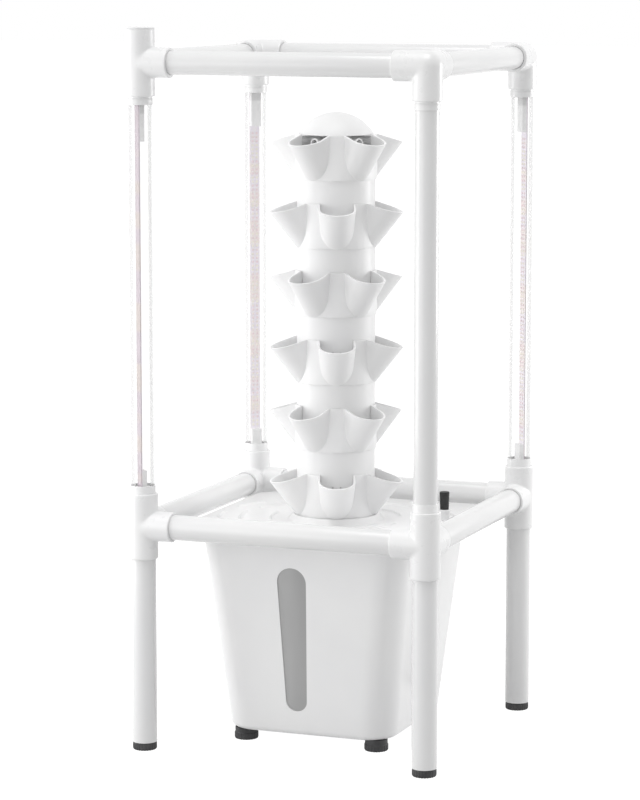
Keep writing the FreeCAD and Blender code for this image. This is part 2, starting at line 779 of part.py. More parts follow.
def make_pump():
    """Pump body, intake cover, impeller with its rotor, suction cups and riser connector."""
    half_width = pump_width / 2
    body_front = -pump_front + pump_cover_thickness
    body = block(-half_width, half_width, body_front, pump_back, pump_base, pump_top)
    upright = [edge for edge in body.Edges if edge.BoundBox.ZLength > pump_height / 2]
    body = body.makeFillet(pump_edge_radius, upright)
    body = body.fuse(rod(nozzle_diameter / 2, pump_top - reach_past, nozzle_top))
    back = Vector(0, 1, 0)
    chamber_start = Vector(0, -pump_front, impeller_height)
    chamber_length = pump_front + pump_chamber_back
    body = body.cut(Part.makeCylinder(pump_chamber_diameter / 2, chamber_length, chamber_start, back))
    well_length = pump_front + rotor_well_back
    body = body.cut(Part.makeCylinder(rotor_well_diameter / 2, well_length, chamber_start, back))
    body = body.cut(rod(nozzle_bore_radius, impeller_height, nozzle_top + reach_past))
    save("pump_body", body)
    cover = block(-half_width, half_width, -pump_front, body_front, pump_base, pump_top)
    half_slot = pump_cover_slot_width / 2
    slot_low = impeller_height - pump_cover_slot_height / 2
    for index in range(pump_cover_slot_count):
        x = (index - (pump_cover_slot_count - 1) / 2) * 2 * pump_cover_slot_width
        cover = cover.cut(block(x - half_slot, x + half_slot, -pump_front - reach_past, 0, slot_low,
                                slot_low + pump_cover_slot_height))
    save("pump_cover", cover)
    make_impeller()
    cups = []
    for side_x, side_y in corners.values():
        x = side_x * suction_cup_spacing_x / 2
        y = (pump_back + pump_cover_thickness - pump_front) / 2 + side_y * suction_cup_spacing_y / 2
        foot_radius = suction_cup_diameter / 2
        neck_radius = suction_cup_neck_diameter / 2
        cups.append(turned([(0, tank_floor), (foot_radius, tank_floor), (neck_radius, pump_base),
                            (0, pump_base)], x, y))
    save("suction_cups", group(cups))
    outer = riser_radius + connector_gap + connector_wall
    connector = rod(outer, connector_base, connector_stop + connector_socket_depth)
    connector = connector.cut(rod(nozzle_diameter / 2 + connector_gap, connector_base, nozzle_top))
    connector = connector.cut(rod(nozzle_bore_radius, nozzle_top, connector_stop))
    socket_top = connector_stop + connector_socket_depth + reach_past
    connector = connector.cut(rod(riser_radius + connector_gap, connector_stop, socket_top))
    save("riser_connector", connector)


def make_impeller():
    """Impeller blades on the magnet rotor that turns in the pump's well."""
    back = Vector(0, 1, 0)
    rotor_start = Vector(0, -pump_front + pump_cover_thickness + rotor_gap, impeller_height)
    rotor_length = pump_front - pump_cover_thickness + rotor_well_back - 2 * rotor_gap
    rotor_radius = rotor_well_diameter / 2 - rotor_gap
    rotor = Part.makeCylinder(impeller_hub_diameter / 2, rotor_length, rotor_start, back)
    magnet_start = Vector(0, pump_chamber_back + rotor_gap, impeller_height)
    magnet_length = rotor_well_back - pump_chamber_back - 2 * rotor_gap
    rotor = rotor.fuse(Part.makeCylinder(rotor_radius, magnet_length, magnet_start, back))
    half_blade = impeller_blade_thickness / 2
    blade_reach = pump_chamber_diameter / 2 - impeller_tip_gap
    blade = block(0, blade_reach, rotor_start.y, rotor_start.y + impeller_depth,
                  impeller_height - half_blade, impeller_height + half_blade)
    for index in range(impeller_blade_count):
        turned_blade = blade.copy()
        turned_blade.rotate(Vector(0, 0, impeller_height), back, 360.0 * index / impeller_blade_count)
        rotor = rotor.fuse(turned_blade)
    save("impeller", rotor.removeSplitter())


os.makedirs("parts", exist_ok=True)
make_frame()
make_lamps()
make_tank()
make_lid()
make_tower()
make_riser()
make_distributor()
make_dome()
make_pump()
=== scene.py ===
# %% [markdown]
# # A planting tower in its pipe frame
#
# The object is a tower of white planting tiers on a water tank. A frame of plastic pipe stands
# around it, and three posts of the frame are clear lamp tubes. The construction model is already
# true in size, so this lesson gives it its looks: smooth moulded surfaces in place of the faceted
# solids, and a finish for each plastic. Every length is in metres, with the floor at height zero.

# %% Load the frame
import bmesh
import bpy
import json
import math
import numpy as np
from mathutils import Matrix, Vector

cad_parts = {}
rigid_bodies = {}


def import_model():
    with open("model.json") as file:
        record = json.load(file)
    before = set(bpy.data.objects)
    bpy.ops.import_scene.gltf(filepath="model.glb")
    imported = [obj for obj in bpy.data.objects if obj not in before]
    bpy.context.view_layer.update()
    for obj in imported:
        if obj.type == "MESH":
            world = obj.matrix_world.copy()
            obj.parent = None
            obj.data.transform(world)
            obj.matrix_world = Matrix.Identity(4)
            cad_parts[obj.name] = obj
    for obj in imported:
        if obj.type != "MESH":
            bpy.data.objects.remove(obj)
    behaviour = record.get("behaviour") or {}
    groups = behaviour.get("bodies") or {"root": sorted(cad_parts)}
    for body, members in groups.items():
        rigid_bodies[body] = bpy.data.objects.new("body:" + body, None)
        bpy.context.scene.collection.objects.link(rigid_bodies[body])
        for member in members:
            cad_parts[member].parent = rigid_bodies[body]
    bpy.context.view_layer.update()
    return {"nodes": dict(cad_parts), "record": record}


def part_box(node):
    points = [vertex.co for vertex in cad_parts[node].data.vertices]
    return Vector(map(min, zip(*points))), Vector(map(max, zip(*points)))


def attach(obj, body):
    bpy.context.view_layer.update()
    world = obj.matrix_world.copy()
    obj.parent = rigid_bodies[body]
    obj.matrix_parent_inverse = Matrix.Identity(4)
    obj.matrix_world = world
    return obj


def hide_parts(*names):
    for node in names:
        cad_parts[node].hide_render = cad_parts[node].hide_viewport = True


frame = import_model()
MM = 0.001
UP = (0.0, 0.0, 1.0)
ORIGIN = (0.0, 0.0, 0.0)
scene = bpy.context.scene

# %% [markdown]
# ## Camera, light and floor
#
# The photograph was taken from the front right with a long lens, a little above the middle of
# the object. A long lens keeps the posts almost parallel. The light is a white studio: an even
# world fills the shadows, a very large lamp high above lights the lid and the rails, and three
# low lamps at the left, the front and the far right shape the round forms. The floor and the
# world show as plain white to the camera, in reflections and through clear plastic.

# %% Camera
PHOTO_HEIGHT = 800
FOCAL_PIXELS = 3155.4
SENSOR = 36.0
CAMERA_TURN = 0.36877
CAMERA_TILT = -0.14009
camera_data = bpy.data.cameras.new("photo_camera")
camera_data.sensor_width = SENSOR
camera_data.lens = FOCAL_PIXELS * SENSOR / PHOTO_HEIGHT
camera_data.clip_end = 50.0
camera = bpy.data.objects.new("photo_camera", camera_data)
scene.collection.objects.link(camera)
scene.camera = camera
aim = Vector((-math.sin(CAMERA_TURN) * math.cos(CAMERA_TILT),
              math.cos(CAMERA_TURN) * math.cos(CAMERA_TILT), math.sin(CAMERA_TILT)))
camera.location = (1.4456, -3.7983, 1.0100)
camera.rotation_euler = aim.to_track_quat("-Z", "Y").to_euler()
print("lens", round(camera_data.lens, 1), "mm")


# %% [markdown]
# ## Shader maths as plain expressions
#
# A material is a small calculation on every point of a surface. Written node by node it is hard
# to read, so one class wraps a node's output and lets plus, minus and times add the Math nodes.
# Colours are blended by one Mix helper, because a Math node would turn a colour grey.

# %% A socket that can be calculated with
class Value:
    """An output of a node, or the result of a sum, that can be used in the next expression."""

    def __init__(self, recipe, socket):
        self.recipe = recipe
        self.socket = socket

    def output(self, name):
        """Another output of the same node."""
        return Value(self.recipe, self.socket.node.outputs[name])

    def maths(self, operation, *others):
        """One Math node on this value and the others."""
        return self.recipe.node("ShaderNodeMath", {"operation": operation}, self, *others)

    def __add__(self, other):
        return self.maths("ADD", other)

    def __mul__(self, other):
        return self.maths("MULTIPLY", other)

    def __sub__(self, other):
        return self.maths("SUBTRACT", other)

    def __rsub__(self, other):
        return (self * -1.0) + other

    __radd__ = __add__
    __rmul__ = __mul__

    def ramp(self, low, high):
        """0 below low, 1 above high, and a smooth step between."""
        settings = {"interpolation_type": "SMOOTHSTEP", "clamp": True}
        limits = {"From Min": low, "From Max": high}
        return self.recipe.node("ShaderNodeMapRange", settings, Value=self, **limits)


class Recipe:
    """A node tree, with short ways to add nodes and links."""

    def __init__(self, tree):
        self.tree = tree

    def node(self, kind, settings=None, *values, **named):
        """Add a node: its settings first, then the values or links of its sockets."""
        made = self.tree.nodes.new(kind)
        for key, setting in (settings or {}).items():
            setattr(made, key, setting)
        pairs = list(zip(made.inputs, values))
        pairs += [(made.inputs[key], value) for key, value in named.items()]
        for socket, value in pairs:
            self.feed(socket, value)
        return Value(self, made.outputs[0])

    def feed(self, socket, value):
        """Link a value to a socket, or set the socket to a number or colour."""
        if isinstance(value, Value):
            self.tree.links.new(value.socket, socket)
        else:
            socket.default_value = value

    def plainly_seen(self):
        """1 for rays from the camera, in reflections and through clear plastic, and 0 for others."""
        rays = self.node("ShaderNodeLightPath")
        seen = rays.output("Is Camera Ray")
        for kind in ("Is Glossy Ray", "Is Transmission Ray"):
            seen = seen.maths("MAXIMUM", rays.output(kind))
        return seen


finishes = {}


class Finish(Recipe):
    """One material: its node tree, its Principled shader, and the patterns that feed it."""

    def __init__(self, name, colour, roughness, **shader):
        self.material = bpy.data.materials.new(name)
        self.material.use_nodes = True
        super().__init__(self.material.node_tree)
        self.shader = self.tree.nodes["Principled BSDF"]
        self.set("Base Color", (*colour, 1.0))
        self.set("Roughness", roughness)
        for socket, value in shader.items():
            self.set(socket.replace("_", " "), value)
        finishes[name] = self

    def set(self, socket, value):
        """Drive one input of the shader."""
        self.feed(self.shader.inputs[socket], value)

    def place(self):
        """The point on the piece, in metres."""
        return self.node("ShaderNodeTexCoord").output("Object")

    def axes(self):
        """The point's X, Y and Z as three values."""
        split = self.node("ShaderNodeSeparateXYZ", None, self.place())
        return [split.output(axis) for axis in "XYZ"]

    def noise(self, scale, detail=3.0):
        """Soft clouds between 0 and 1, with about scale clouds to the metre."""
        named = {"Vector": self.place(), "Scale": scale, "Detail": detail}
        return self.node("ShaderNodeTexNoise", None, **named)

    def bands(self, scale):
        """Level bands between 0 and 1 that change with the height only."""
        flat = {"noise_dimensions": "1D"}
        return self.node("ShaderNodeTexNoise", flat, W=self.axes()[2], Scale=scale, Detail=0.0)

    def blend(self, share, first, second):
        """A colour between two, by a share from 0 to 1. Its colour sockets are numbers 6, 7 and 2."""
        mix = self.node("ShaderNodeMix", {"data_type": "RGBA"}, share)
        for number, colour in ((6, first), (7, second)):
            plain = colour if isinstance(colour, Value) else (*colour, 1.0)
            self.feed(mix.socket.node.inputs[number], plain)
        return mix.output(2)

    def bump(self, height, depth):
        """Raise the surface by a height value times a depth in metres."""
        bumped = self.node("ShaderNodeBump", None, Strength=1.0, Distance=depth, Height=height)
        self.set("Normal", bumped)


def grey(tone):
    """A colour with no hue."""
    return (tone, tone, tone)


print("shader helpers ready")

# %% Light and floor
WHITE = (1.0, 1.0, 1.0, 1.0)
SKY_STRENGTH = 0.60
FLOOR_GLOW = 1.35
SHADOW_SHARE = 0.25
FLOOR_SIZE = 60.0
world = bpy.data.worlds.new("white_studio")
scene.world = world
world.use_nodes = True
studio = Recipe(world.node_tree)
sky = studio.tree.nodes["Background"]
studio.feed(sky.inputs["Color"], WHITE)
studio.feed(sky.inputs["Strength"], SKY_STRENGTH)
backdrop = studio.node("ShaderNodeBackground", None, WHITE, 1.0)
filling = Value(studio, sky.outputs[0])
mixed = studio.node("ShaderNodeMixShader", None, studio.plainly_seen(), filling, backdrop)
studio.feed(studio.tree.nodes["World Output"].inputs["Surface"], mixed)


def soft_lamp(name, side_turn, distance, height, size, power):
    """A square lamp at a turn to the camera's right around the object, aimed at its middle."""
    heading = CAMERA_TURN + math.radians(side_turn)
    place = Vector((distance * math.sin(heading), -distance * math.cos(heading), height))
    data = bpy.data.lights.new(name, "AREA")
    data.size = size
    data.energy = power
    lamp = bpy.data.objects.new(name, data)
    scene.collection.objects.link(lamp)
    lamp.location = place
    lamp.rotation_euler = (Vector((0.0, 0.0, 0.5)) - place).to_track_quat("-Z", "Y").to_euler()


soft_lamp("left_lamp", -88.0, 1.5, 0.6, 1.1, 11.8)
soft_lamp("front_lamp", -48.0, 2.2, 0.7, 1.2, 5.2)
soft_lamp("right_lamp", 108.0, 1.9, 0.75, 0.9, 14.5)
soft_lamp("top_lamp", -10.0, 2.5, 12.0, 7.5, 680.0)

bpy.ops.mesh.primitive_plane_add(size=FLOOR_SIZE, location=ORIGIN)
floor = bpy.context.object
floor.name = "studio_floor"
floor_finish = Finish("floor_white", grey(0.55), 0.9)
glow = floor_finish.node("ShaderNodeEmission", None, WHITE, FLOOR_GLOW)
share = floor_finish.plainly_seen() * (1.0 - SHADOW_SHARE)
lit = Value(floor_finish, floor_finish.shader.outputs[0])
mixed = floor_finish.node("ShaderNodeMixShader", None, share, lit, glow)
floor_finish.feed(floor_finish.tree.nodes["Material Output"].inputs["Surface"], mixed)
floor.data.materials.append(floor_finish.material)
scene.view_settings.view_transform = "Standard"

# %% [markdown]
# ## Finishes
#
# Almost everything here is white plastic, but not the same white plastic. The pipes are glossy,
# the moulded fittings a little duller, the tiers satin, and the tank has slow waves. Each white
# has a gentle drift of tone and roughness and a very shallow bump, because a deep bump finer than
# a pixel would only show as specks. Black rubber and the fluted black feet are nearly matt.

# %% White plastics
def white_plastic(name, tone, roughness, peel_scale, peel_depth, coat=0.0):
    """White plastic: tone and roughness drift with soft clouds, and a fine noise bumps it a little."""
    finish = Finish(name, grey(tone), roughness, Coat_Weight=coat, Coat_Roughness=0.12)
    darker = tuple(tone * share for share in (0.975, 0.975, 0.98))
    drift = finish.noise(9.0, 2.0).ramp(0.35, 0.7)
    finish.set("Base Color", finish.blend(drift, grey(tone), darker))
    finish.set("Roughness", roughness + (finish.noise(70.0, 4.0) - 0.5) * 0.05)
    finish.bump(finish.noise(peel_scale, 2.0), peel_depth)


white_plastic("pipe_white", 0.77, 0.24, 60.0, 0.000005, 0.3)
white_plastic("fitting_white", 0.83, 0.28, 120.0, 0.000005, 0.2)
white_plastic("tower_white", 0.87, 0.40, 120.0, 0.000006)
# Painted shade: the dome is the tiers' plastic, painted a darker white because the light from above
# falls strongest on it.
white_plastic("dome_painted_shade_white", 0.80, 0.45, 120.0, 0.000006)
white_plastic("tank_white", 0.88, 0.30, 20.0, 0.00001, 0.3)
white_plastic("insert_white", 0.72, 0.50, 900.0, 0.00003)
print(sorted(finishes))


# %% Black, grey and clear plastics
def dark_plastic(name, roughness, clouds, darker, paler, grain):
    """Dark plastic or rubber with paler clouds and a fine grain."""
    finish = Finish(name, darker, roughness)
    finish.set("Base Color", finish.blend(finish.noise(clouds).ramp(0.4, 0.8), darker, paler))
    finish.bump(finish.noise(grain, 2.0), 0.00004)
    return finish


foot = dark_plastic("foot_black", 0.55, 60.0, (0.026, 0.026, 0.028), grey(0.06), 1500.0)
foot.set("Roughness", 0.5 + foot.noise(120.0) * 0.2)
dark_plastic("rubber_black", 0.7, 90.0, grey(0.018), grey(0.04), 2200.0)
dark_plastic("pump_dark", 0.45, 50.0, (0.055, 0.055, 0.06), (0.09, 0.09, 0.095), 900.0)

window = Finish("window_grey", grey(0.36), 0.25)
window.set("Base Color", window.blend(window.axes()[2].ramp(0.05, 0.235), grey(0.42), grey(0.39)))
window.set("Roughness", 0.36 + window.noise(60.0) * 0.03)
window.bump(window.noise(150.0, 2.0), 0.000004)



def as_made(node):
    """(middle of a node's box, its size) in metres."""
    low, high = [np.array(corner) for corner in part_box(node)]
    return (low + high) / 2, high - low


def levels(node):
    """The lowest and the highest level of a node."""
    return [corner[2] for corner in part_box(node)]


# Painted shade: the top of each lamp's grey driver block, just under the top fitting, is painted a
# darker grey.
PAINTED_SHADE_LOW = levels("lamp_board_front_left")[1] - 12.0 * MM
lamp_grey = Finish("lamp_grey", grey(0.88), 0.5)
mottled = lamp_grey.blend(lamp_grey.noise(160.0).ramp(0.3, 0.7), grey(0.94), grey(0.88))
# painted shade mask: 0 below the band, 1 in the darker top just under the fitting
painted_shade_top = lamp_grey.axes()[2].ramp(PAINTED_SHADE_LOW - 4.0 * MM, PAINTED_SHADE_LOW)
lamp_grey.set("Base Color", lamp_grey.blend(painted_shade_top, mottled, grey(0.74)))
lamp_grey.bump(lamp_grey.noise(900.0, 2.0), 0.00003)

clear = Finish("clear_tube", grey(0.80), 0.08, IOR=1.45)
clear.set("Roughness", 0.08 + clear.noise(10.0, 1.0) * 0.03)
edge_on = clear.node("ShaderNodeFresnel", None, IOR=1.45)
clear.set("Alpha", 0.03 + edge_on * edge_on * 0.32 + clear.noise(10.0, 1.0) * 0.01)
clear.bump(clear.noise(12.0, 1.0), 0.000002)


post_spread = as_made("leg_front_right")[0][0] - as_made("leg_front_left")[0][0]
board = Finish("lamp_board", (0.94, 0.88, 0.90), 0.5)
x, y, z = board.axes()
step = board.bands(26.0).ramp(0.42, 0.52)
pinker = board.blend(step, (0.96, 0.87, 0.85), (0.93, 0.88, 0.96))
face = board.blend(board.noise(300.0).ramp(0.4, 0.7), pinker, (0.96, 0.93, 0.94))
back = board.blend(step, (0.56, 0.50, 0.48), (0.53, 0.47, 0.51))
behind = x.maths("ABSOLUTE") + y.maths("ABSOLUTE") - post_spread
board.set("Base Color", board.blend(behind.ramp(5.0 * MM, 5.6 * MM), face, back))
board.set("Roughness", 0.45 + board.noise(200.0) * 0.15)

chip = Finish("chip_yellow", (0.90, 0.84, 0.76), 0.35)
tint = chip.bands(90.0).ramp(0.45, 0.55)
chip.set("Base Color", chip.blend(tint, (0.94, 0.90, 0.80), (0.90, 0.76, 0.79)))
chip.set("Roughness", 0.3 + chip.noise(500.0) * 0.2)
print(len(finishes), "finishes")


# %% [markdown]
# ## Surfaces from arrays
#
# Each moulded piece is a grid of points with rows and columns, worked out as one array. Two
# neighbouring rows and columns make a quad. Several grids are welded along their shared edges
# into one closed skin. Corners of a profile are small curves, because no moulded plastic edge is
# knife sharp, and the small curve is what catches the light.

# %% Grids and profiles
def patch(points, round_columns=True, round_rows=False):
    """The quads between the rows and columns of a grid of points, closed on itself where asked."""
    rows, columns = points.shape[:2]
    index = np.arange(rows * columns).reshape(rows, columns)
    if round_columns:
        index = np.concatenate([index, index[:, :1]], axis=1)
    if round_rows:
        index = np.concatenate([index, index[:1]], axis=0)
    quads = np.stack([index[:-1, :-1], index[:-1, 1:], index[1:, 1:], index[1:, :-1]], axis=-1)
    return points.reshape(-1, 3), quads.reshape(-1, 4)


def rounded(corners, steps=4, closed=False):
    """A profile whose corners are small curves: each corner is (across, along, radius).

    A corner is the quadratic curve between the two points that lie its radius away along its edges.
    """
    spots = np.array([corner[:2] for corner in corners], float)
    share = np.linspace(0.0, 1.0, steps + 1)[:, None]
    parts = []
    count = len(corners)
    for number, (across, along, radius) in enumerate(corners):
        spot = spots[number]
        if radius <= 0.0 or not closed and number in (0, count - 1):
            parts.append(spot[None, :])
            continue
        before = spots[number - 1] - spot
        after = spots[(number + 1) % count] - spot
        long_before = np.linalg.norm(before)
        long_after = np.linalg.norm(after)
        reach = min(radius, 0.49 * long_before, 0.49 * long_after)
        start = spot + before / long_before * reach
        end = spot + after / long_after * reach
        parts.append(start * (1 - share) ** 2 + spot * 2 * share * (1 - share) + end * share ** 2)
    return np.concatenate(parts)


def smooth(value):
    """A soft step: 0 below 0, 1 above 1, and v * v * (3 - 2 v) between."""
    value = np.clip(value, 0.0, 1.0)
    return value * value * (3 - 2 * value)


def full_turn(count):
    """Angles spread evenly round a circle."""
    return np.linspace(0.0, 2 * np.pi, count, endpoint=False)


def polar(angle, distance, level):
    """Points (distance cos a, distance sin a, level) about the upright axis."""
    angle, distance, level = np.broadcast_arrays(angle, distance, level)
    return np.stack([distance * np.cos(angle), distance * np.sin(angle), level], axis=-1)


def unit_ring(axis, around):
    """Unit directions square to an axis, all round it: cos a * first + sin a * second."""
    axis = np.array(axis, float)
    first = np.cross(axis, UP) if abs(axis[2]) < 0.9 else np.array([1.0, 0.0, 0.0])
    first = first / np.linalg.norm(first)
    angle = full_turn(around)[:, None]
    return np.cos(angle) * first + np.sin(angle) * np.cross(axis, first)


def swept(profile, axis, ring, foot=ORIGIN):
    """point = foot + along * axis + across * ring, for each (across, along) row of a profile."""
    across, along = profile[:, 0, None, None], profile[:, 1, None, None]
    return np.array(foot) + along * np.array(axis, float) + across * ring


def turned(profile, foot=ORIGIN, axis=UP, around=72, closed=False):
    """A turned skin: the profile of (across, along) rows swept round its axis."""
    return patch(swept(profile, axis, unit_ring(axis, around), foot), round_rows=closed)


def pipe_skin(outer, inner, low, high, foot=ORIGIN, axis=UP, edge=0.6 * MM, around=72):
    """A pipe with rounded ends, from low to high along its axis."""
    corners = [(outer, low, edge), (outer, high, edge), (inner, high, edge), (inner, low, edge)]
    return turned(rounded(corners, closed=True), foot, axis, around, closed=True)


def moved(skin, shift):
    """The same skin, shifted."""
    return skin[0] + np.array(shift), skin[1]


def spun(skin, turn):
    """The same skin, turned about the tower's axis: x cos - y sin, x sin + y cos."""
    cosine, sine = math.cos(turn), math.sin(turn)
    spin = np.array([[cosine, -sine, 0.0], [sine, cosine, 0.0], [0.0, 0.0, 1.0]])
    return skin[0] @ spin.T, skin[1]


def bar_skin(low, high, turn=0.0, edge=0.4 * MM):
    """A bar with softened edges between two corners, turned about the tower's axis.

    Every ring is a rectangle with cut corners. The rings next to the ends are drawn in by the
    edge, and the end rings have shrunk to a point.
    """
    low, high = np.array(low, float), np.array(high, float)
    half = (high - low)[:2] / 2
    side = np.array([(-1, -1), (1, -1), (1, -1), (1, 1), (1, 1), (-1, 1), (-1, 1), (-1, -1)])
    cut = np.array([(1, 0), (-1, 0), (0, 1), (0, -1), (-1, 0), (1, 0), (0, -1), (0, 1)]) * edge
    rows = []
    for height, inset, open_ring in (
            (low[2], half, 0), (low[2], edge, 1), (low[2] + edge, 0.0, 1),
            (high[2] - edge, 0.0, 1), (high[2], edge, 1), (high[2], half, 0)):
        spots = (low + high)[:2] / 2 + side * (half - inset) + cut * open_ring
        rows.append(np.concatenate([spots, np.full((8, 1), height)], axis=1))
    return spun(patch(np.stack(rows)), turn)


print("surface helpers ready")


# %% Pieces
def add_piece(name, skins, body, finish, stands_for=(), crease=38.0):
    """Weld skins into one closed mesh, turn its faces outwards, and let it ride on a body."""
    starts = np.cumsum([0] + [len(points) for points, quads in skins])
    points = np.concatenate([skin[0] for skin in skins]).astype(np.float32)
    quads = np.concatenate([skin[1] + start for skin, start in zip(skins, starts)])
    quads = quads.astype(np.int32)
    mesh = bpy.data.meshes.new(name)
    mesh.vertices.add(len(points))
    mesh.vertices.foreach_set("co", points.ravel())
    mesh.loops.add(quads.size)
    mesh.loops.foreach_set("vertex_index", quads.ravel())
    mesh.polygons.add(len(quads))
    mesh.polygons.foreach_set("loop_start", np.arange(0, quads.size, 4, dtype=np.int32))
    mesh.update(calc_edges=True)
    shape = bmesh.new()
    shape.from_mesh(mesh)
    bmesh.ops.remove_doubles(shape, verts=shape.verts, dist=0.00001)
    bmesh.ops.recalc_face_normals(shape, faces=shape.faces)
    open_edges = sum(1 for edge in shape.edges if len(edge.link_faces) != 2)
    shape.to_mesh(mesh)
    shape.free()
    mesh.shade_smooth()
    mesh.set_sharp_from_angle(angle=math.radians(crease))
    mesh.materials.append(finishes[finish].material)
    piece = bpy.data.objects.new(name, mesh)
    scene.collection.objects.link(piece)
    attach(piece, body)
    if stands_for:
        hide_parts(*stands_for)
    if open_edges:
        print("open edges in", name, open_edges)
    return piece


record = frame["record"]
finish_of = {subpart["node"]: subpart["material_slot"] for subpart in record["subparts"]}
body_of = {node: body for body, nodes in record["behaviour"]["bodies"].items() for node in nodes}
ROOT = body_of["tank"]


def dress(node, skins, finish, crease=38.0):
    """The piece that stands for one node and rides on that node's body."""
    return add_piece(node + "_skin", skins, body_of[node], finish, [node], crease)


for node, thing in frame["nodes"].items():
    thing.data.materials.clear()
    thing.data.materials.append(finishes[finish_of[node]].material)
print("frame body:", ROOT)

# %% [markdown]
# ## Pipes
#
# Twelve straight pipes and one upper post. A cut pipe end is square with a slightly broken edge,
# and it hides in its socket, so the skin needs only a true diameter, a wall and rounded ends.

# %% Legs, rails and the plain post
PIPE_WALL = 2.0 * MM
signs = {"front_left": (-1, -1), "front_right": (1, -1), "rear_right": (1, 1), "rear_left": (-1, 1)}
pipes = ["leg_" + name for name in signs] + ["upper_post"]
pipes += [ring + side for ring in ("middle_rail_", "top_rail_")
          for side in ("front", "right", "rear", "left")]
for node in pipes:
    centre, size = as_made(node)
    run = int(np.argmax(size))
    outer = min(size) / 2
    half_run = size[run] / 2
    skin = pipe_skin(outer, outer - PIPE_WALL, -half_run, half_run, centre, np.eye(3)[run])
    dress(node, [skin], "pipe_white")
print(len(pipes), "pipes")

# %% [markdown]
# ## Fittings
#
# A corner fitting is a set of round arms that meet at right angles. Two arms of one radius meet
# in the plane halfway between them, so each arm is a grid of angle by distance that starts on
# that plane. A real moulding has a small fillet in the crease. Here the distance of every point
# from the fitting's middle is a soft maximum over the arms, which raises the crease a little and
# leaves the rest alone.

# %% The shape of a fitting
FITTING_RADIUS = 19.0 * MM
FITTING_REACH = 42.0 * MM
SOCKET_DEPTH = 25.0 * MM
STOP = FITTING_REACH - SOCKET_DEPTH
PASSAGE_RADIUS = 12.5 * MM
LEG_RADIUS = 16.0 * MM
POST_RADIUS = 15.0 * MM
SOCKET_GAP = 0.1 * MM
RIM_EDGE = 1.3 * MM
FILLET = 26.0
FITTING_COLUMNS = 64


def arm_skin(radius, profile, axis, others, along_steps, fillet=0.0):
    """One arm of a fitting, from the planes halfway to the other arms out to the profile.

    At angle a the arm starts at radius * max(0, cosine between the angle's direction and another
    arm). The profile carries on from there as (across, along) rows.
    """
    axis = np.array(axis, float)
    ring = unit_ring(axis, FITTING_COLUMNS)
    crossing = [np.array(other, float) for other in others if abs(np.dot(axis, other)) < 0.5]
    start = np.zeros(FITTING_COLUMNS)
    for other in crossing:
        start = np.maximum(start, radius * (ring @ other))
    share = (np.linspace(0.0, 1.0, along_steps) ** 1.6)[:, None]
    along = start[None, :] * (1 - share) + profile[0, 1] * share
    sleeve = along[:, :, None] * axis + radius * ring[None, :, :]
    if fillet:
        length = np.linalg.norm(sleeve, axis=2, keepdims=True)
        heading = sleeve / length
        total = length ** fillet
        for other in crossing:
            facing = (heading @ other)[:, :, None]
            sine = np.sqrt(np.maximum(1 - facing ** 2, 0.01))
            total = total + smooth(facing / 0.4) * (radius / sine) ** fillet
        sleeve = heading * total ** (1 / fillet)
    return patch(np.concatenate([sleeve, swept(profile[1:], axis, ring)]))


def outer_corner(radius, arms):
    """The eighth of a ball that closes an elbow on the side where it has no arm.

    direction = sin tilt * (cos turn * first + sin turn * second) + cos tilt * pole
    """
    first, second, pole = [-np.array(arm, float) for arm in arms]
    swing = np.linspace(0.0, np.pi / 2, FITTING_COLUMNS // 4 + 1)
    tilt, turn = [grid[..., None] for grid in np.meshgrid(swing, swing, indexing="ij")]
    points = np.sin(tilt) * (np.cos(turn) * first + np.sin(turn) * second) + np.cos(tilt) * pole
    return patch(radius * points, round_columns=False)


def fitting_skins(arms, socket_radii):
    """The whole skin of a fitting about its middle: outside, mouths, sockets and passages."""
    skins = []
    for arm, bore in zip(arms, socket_radii):
        others = [other for other in arms if other is not arm]
        mouth = rounded([(FITTING_RADIUS, FITTING_REACH - 3 * RIM_EDGE, 0.0),
                         (FITTING_RADIUS, FITTING_REACH, RIM_EDGE),
                         (bore, FITTING_REACH, 0.6 * MM), (bore, STOP, 0.0),
                         (PASSAGE_RADIUS, STOP, 0.0)])
        skins.append(arm_skin(FITTING_RADIUS, mouth, arm, others, 22, FILLET))
        inside = np.array([(PASSAGE_RADIUS, STOP), (PASSAGE_RADIUS, STOP)])
        skins.append(arm_skin(PASSAGE_RADIUS, inside, arm, others, 8))
    if len(arms) == 3:
        skins += [outer_corner(radius, arms) for radius in (FITTING_RADIUS, PASSAGE_RADIUS)]
    return skins


def held_in(skins, node):
    """The same skins, with no point outside the box of the node that they stand for."""
    low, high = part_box(node)
    return [(np.clip(points, low, high), quads) for points, quads in skins]


print("socket stops", round(STOP, 4), "m from a fitting's middle")

# %% Eight corner fittings
post_half = post_spread / 2
spots = {name: np.array([x * post_half, y * post_half, 0.0]) for name, (x, y) in signs.items()}
leg_socket = LEG_RADIUS + SOCKET_GAP
rail_socket = POST_RADIUS + SOCKET_GAP
middle_height = as_made("middle_rail_front")[0][2]
top_height = as_made("top_rail_front")[0][2]
for name, (side_x, side_y) in signs.items():
    level_arms = [(-side_x, 0, 0), (0, -side_y, 0)]
    up_arm, down_arm = (0, 0, 1), (0, 0, -1)
    top_arms = level_arms + [down_arm]
    top_bores = [rail_socket, rail_socket, leg_socket]
    if name == "front_left":
        top_arms.append(up_arm)
        top_bores.append(leg_socket)
    for kind, height, arms, bores in (
            ("middle_fitting_", middle_height, level_arms + [up_arm, down_arm], [leg_socket] * 4),
            ("top_fitting_", top_height, top_arms, top_bores)):
        node = kind + name
        placed = [moved(skin, spots[name] + (0, 0, height)) for skin in fitting_skins(arms, bores)]
        dress(node, held_in(placed, node), "fitting_white", crease=50.0)
print("fittings at height", round(middle_height, 3), "and", round(top_height, 4))

# %% [markdown]
# ## Bushings and the cable cap
#
# The upper posts are slimmer than the legs, so a reducing sleeve sits in each upright socket. Only
# its collar shows, as a slightly smaller step between the fitting and the post. Each upper sleeve
# has a shallow groove where it leaves its fitting, which gives the dark line of the photograph.
# The open socket at the front left is closed by a shallow cap with a hole for the lamps' cable.

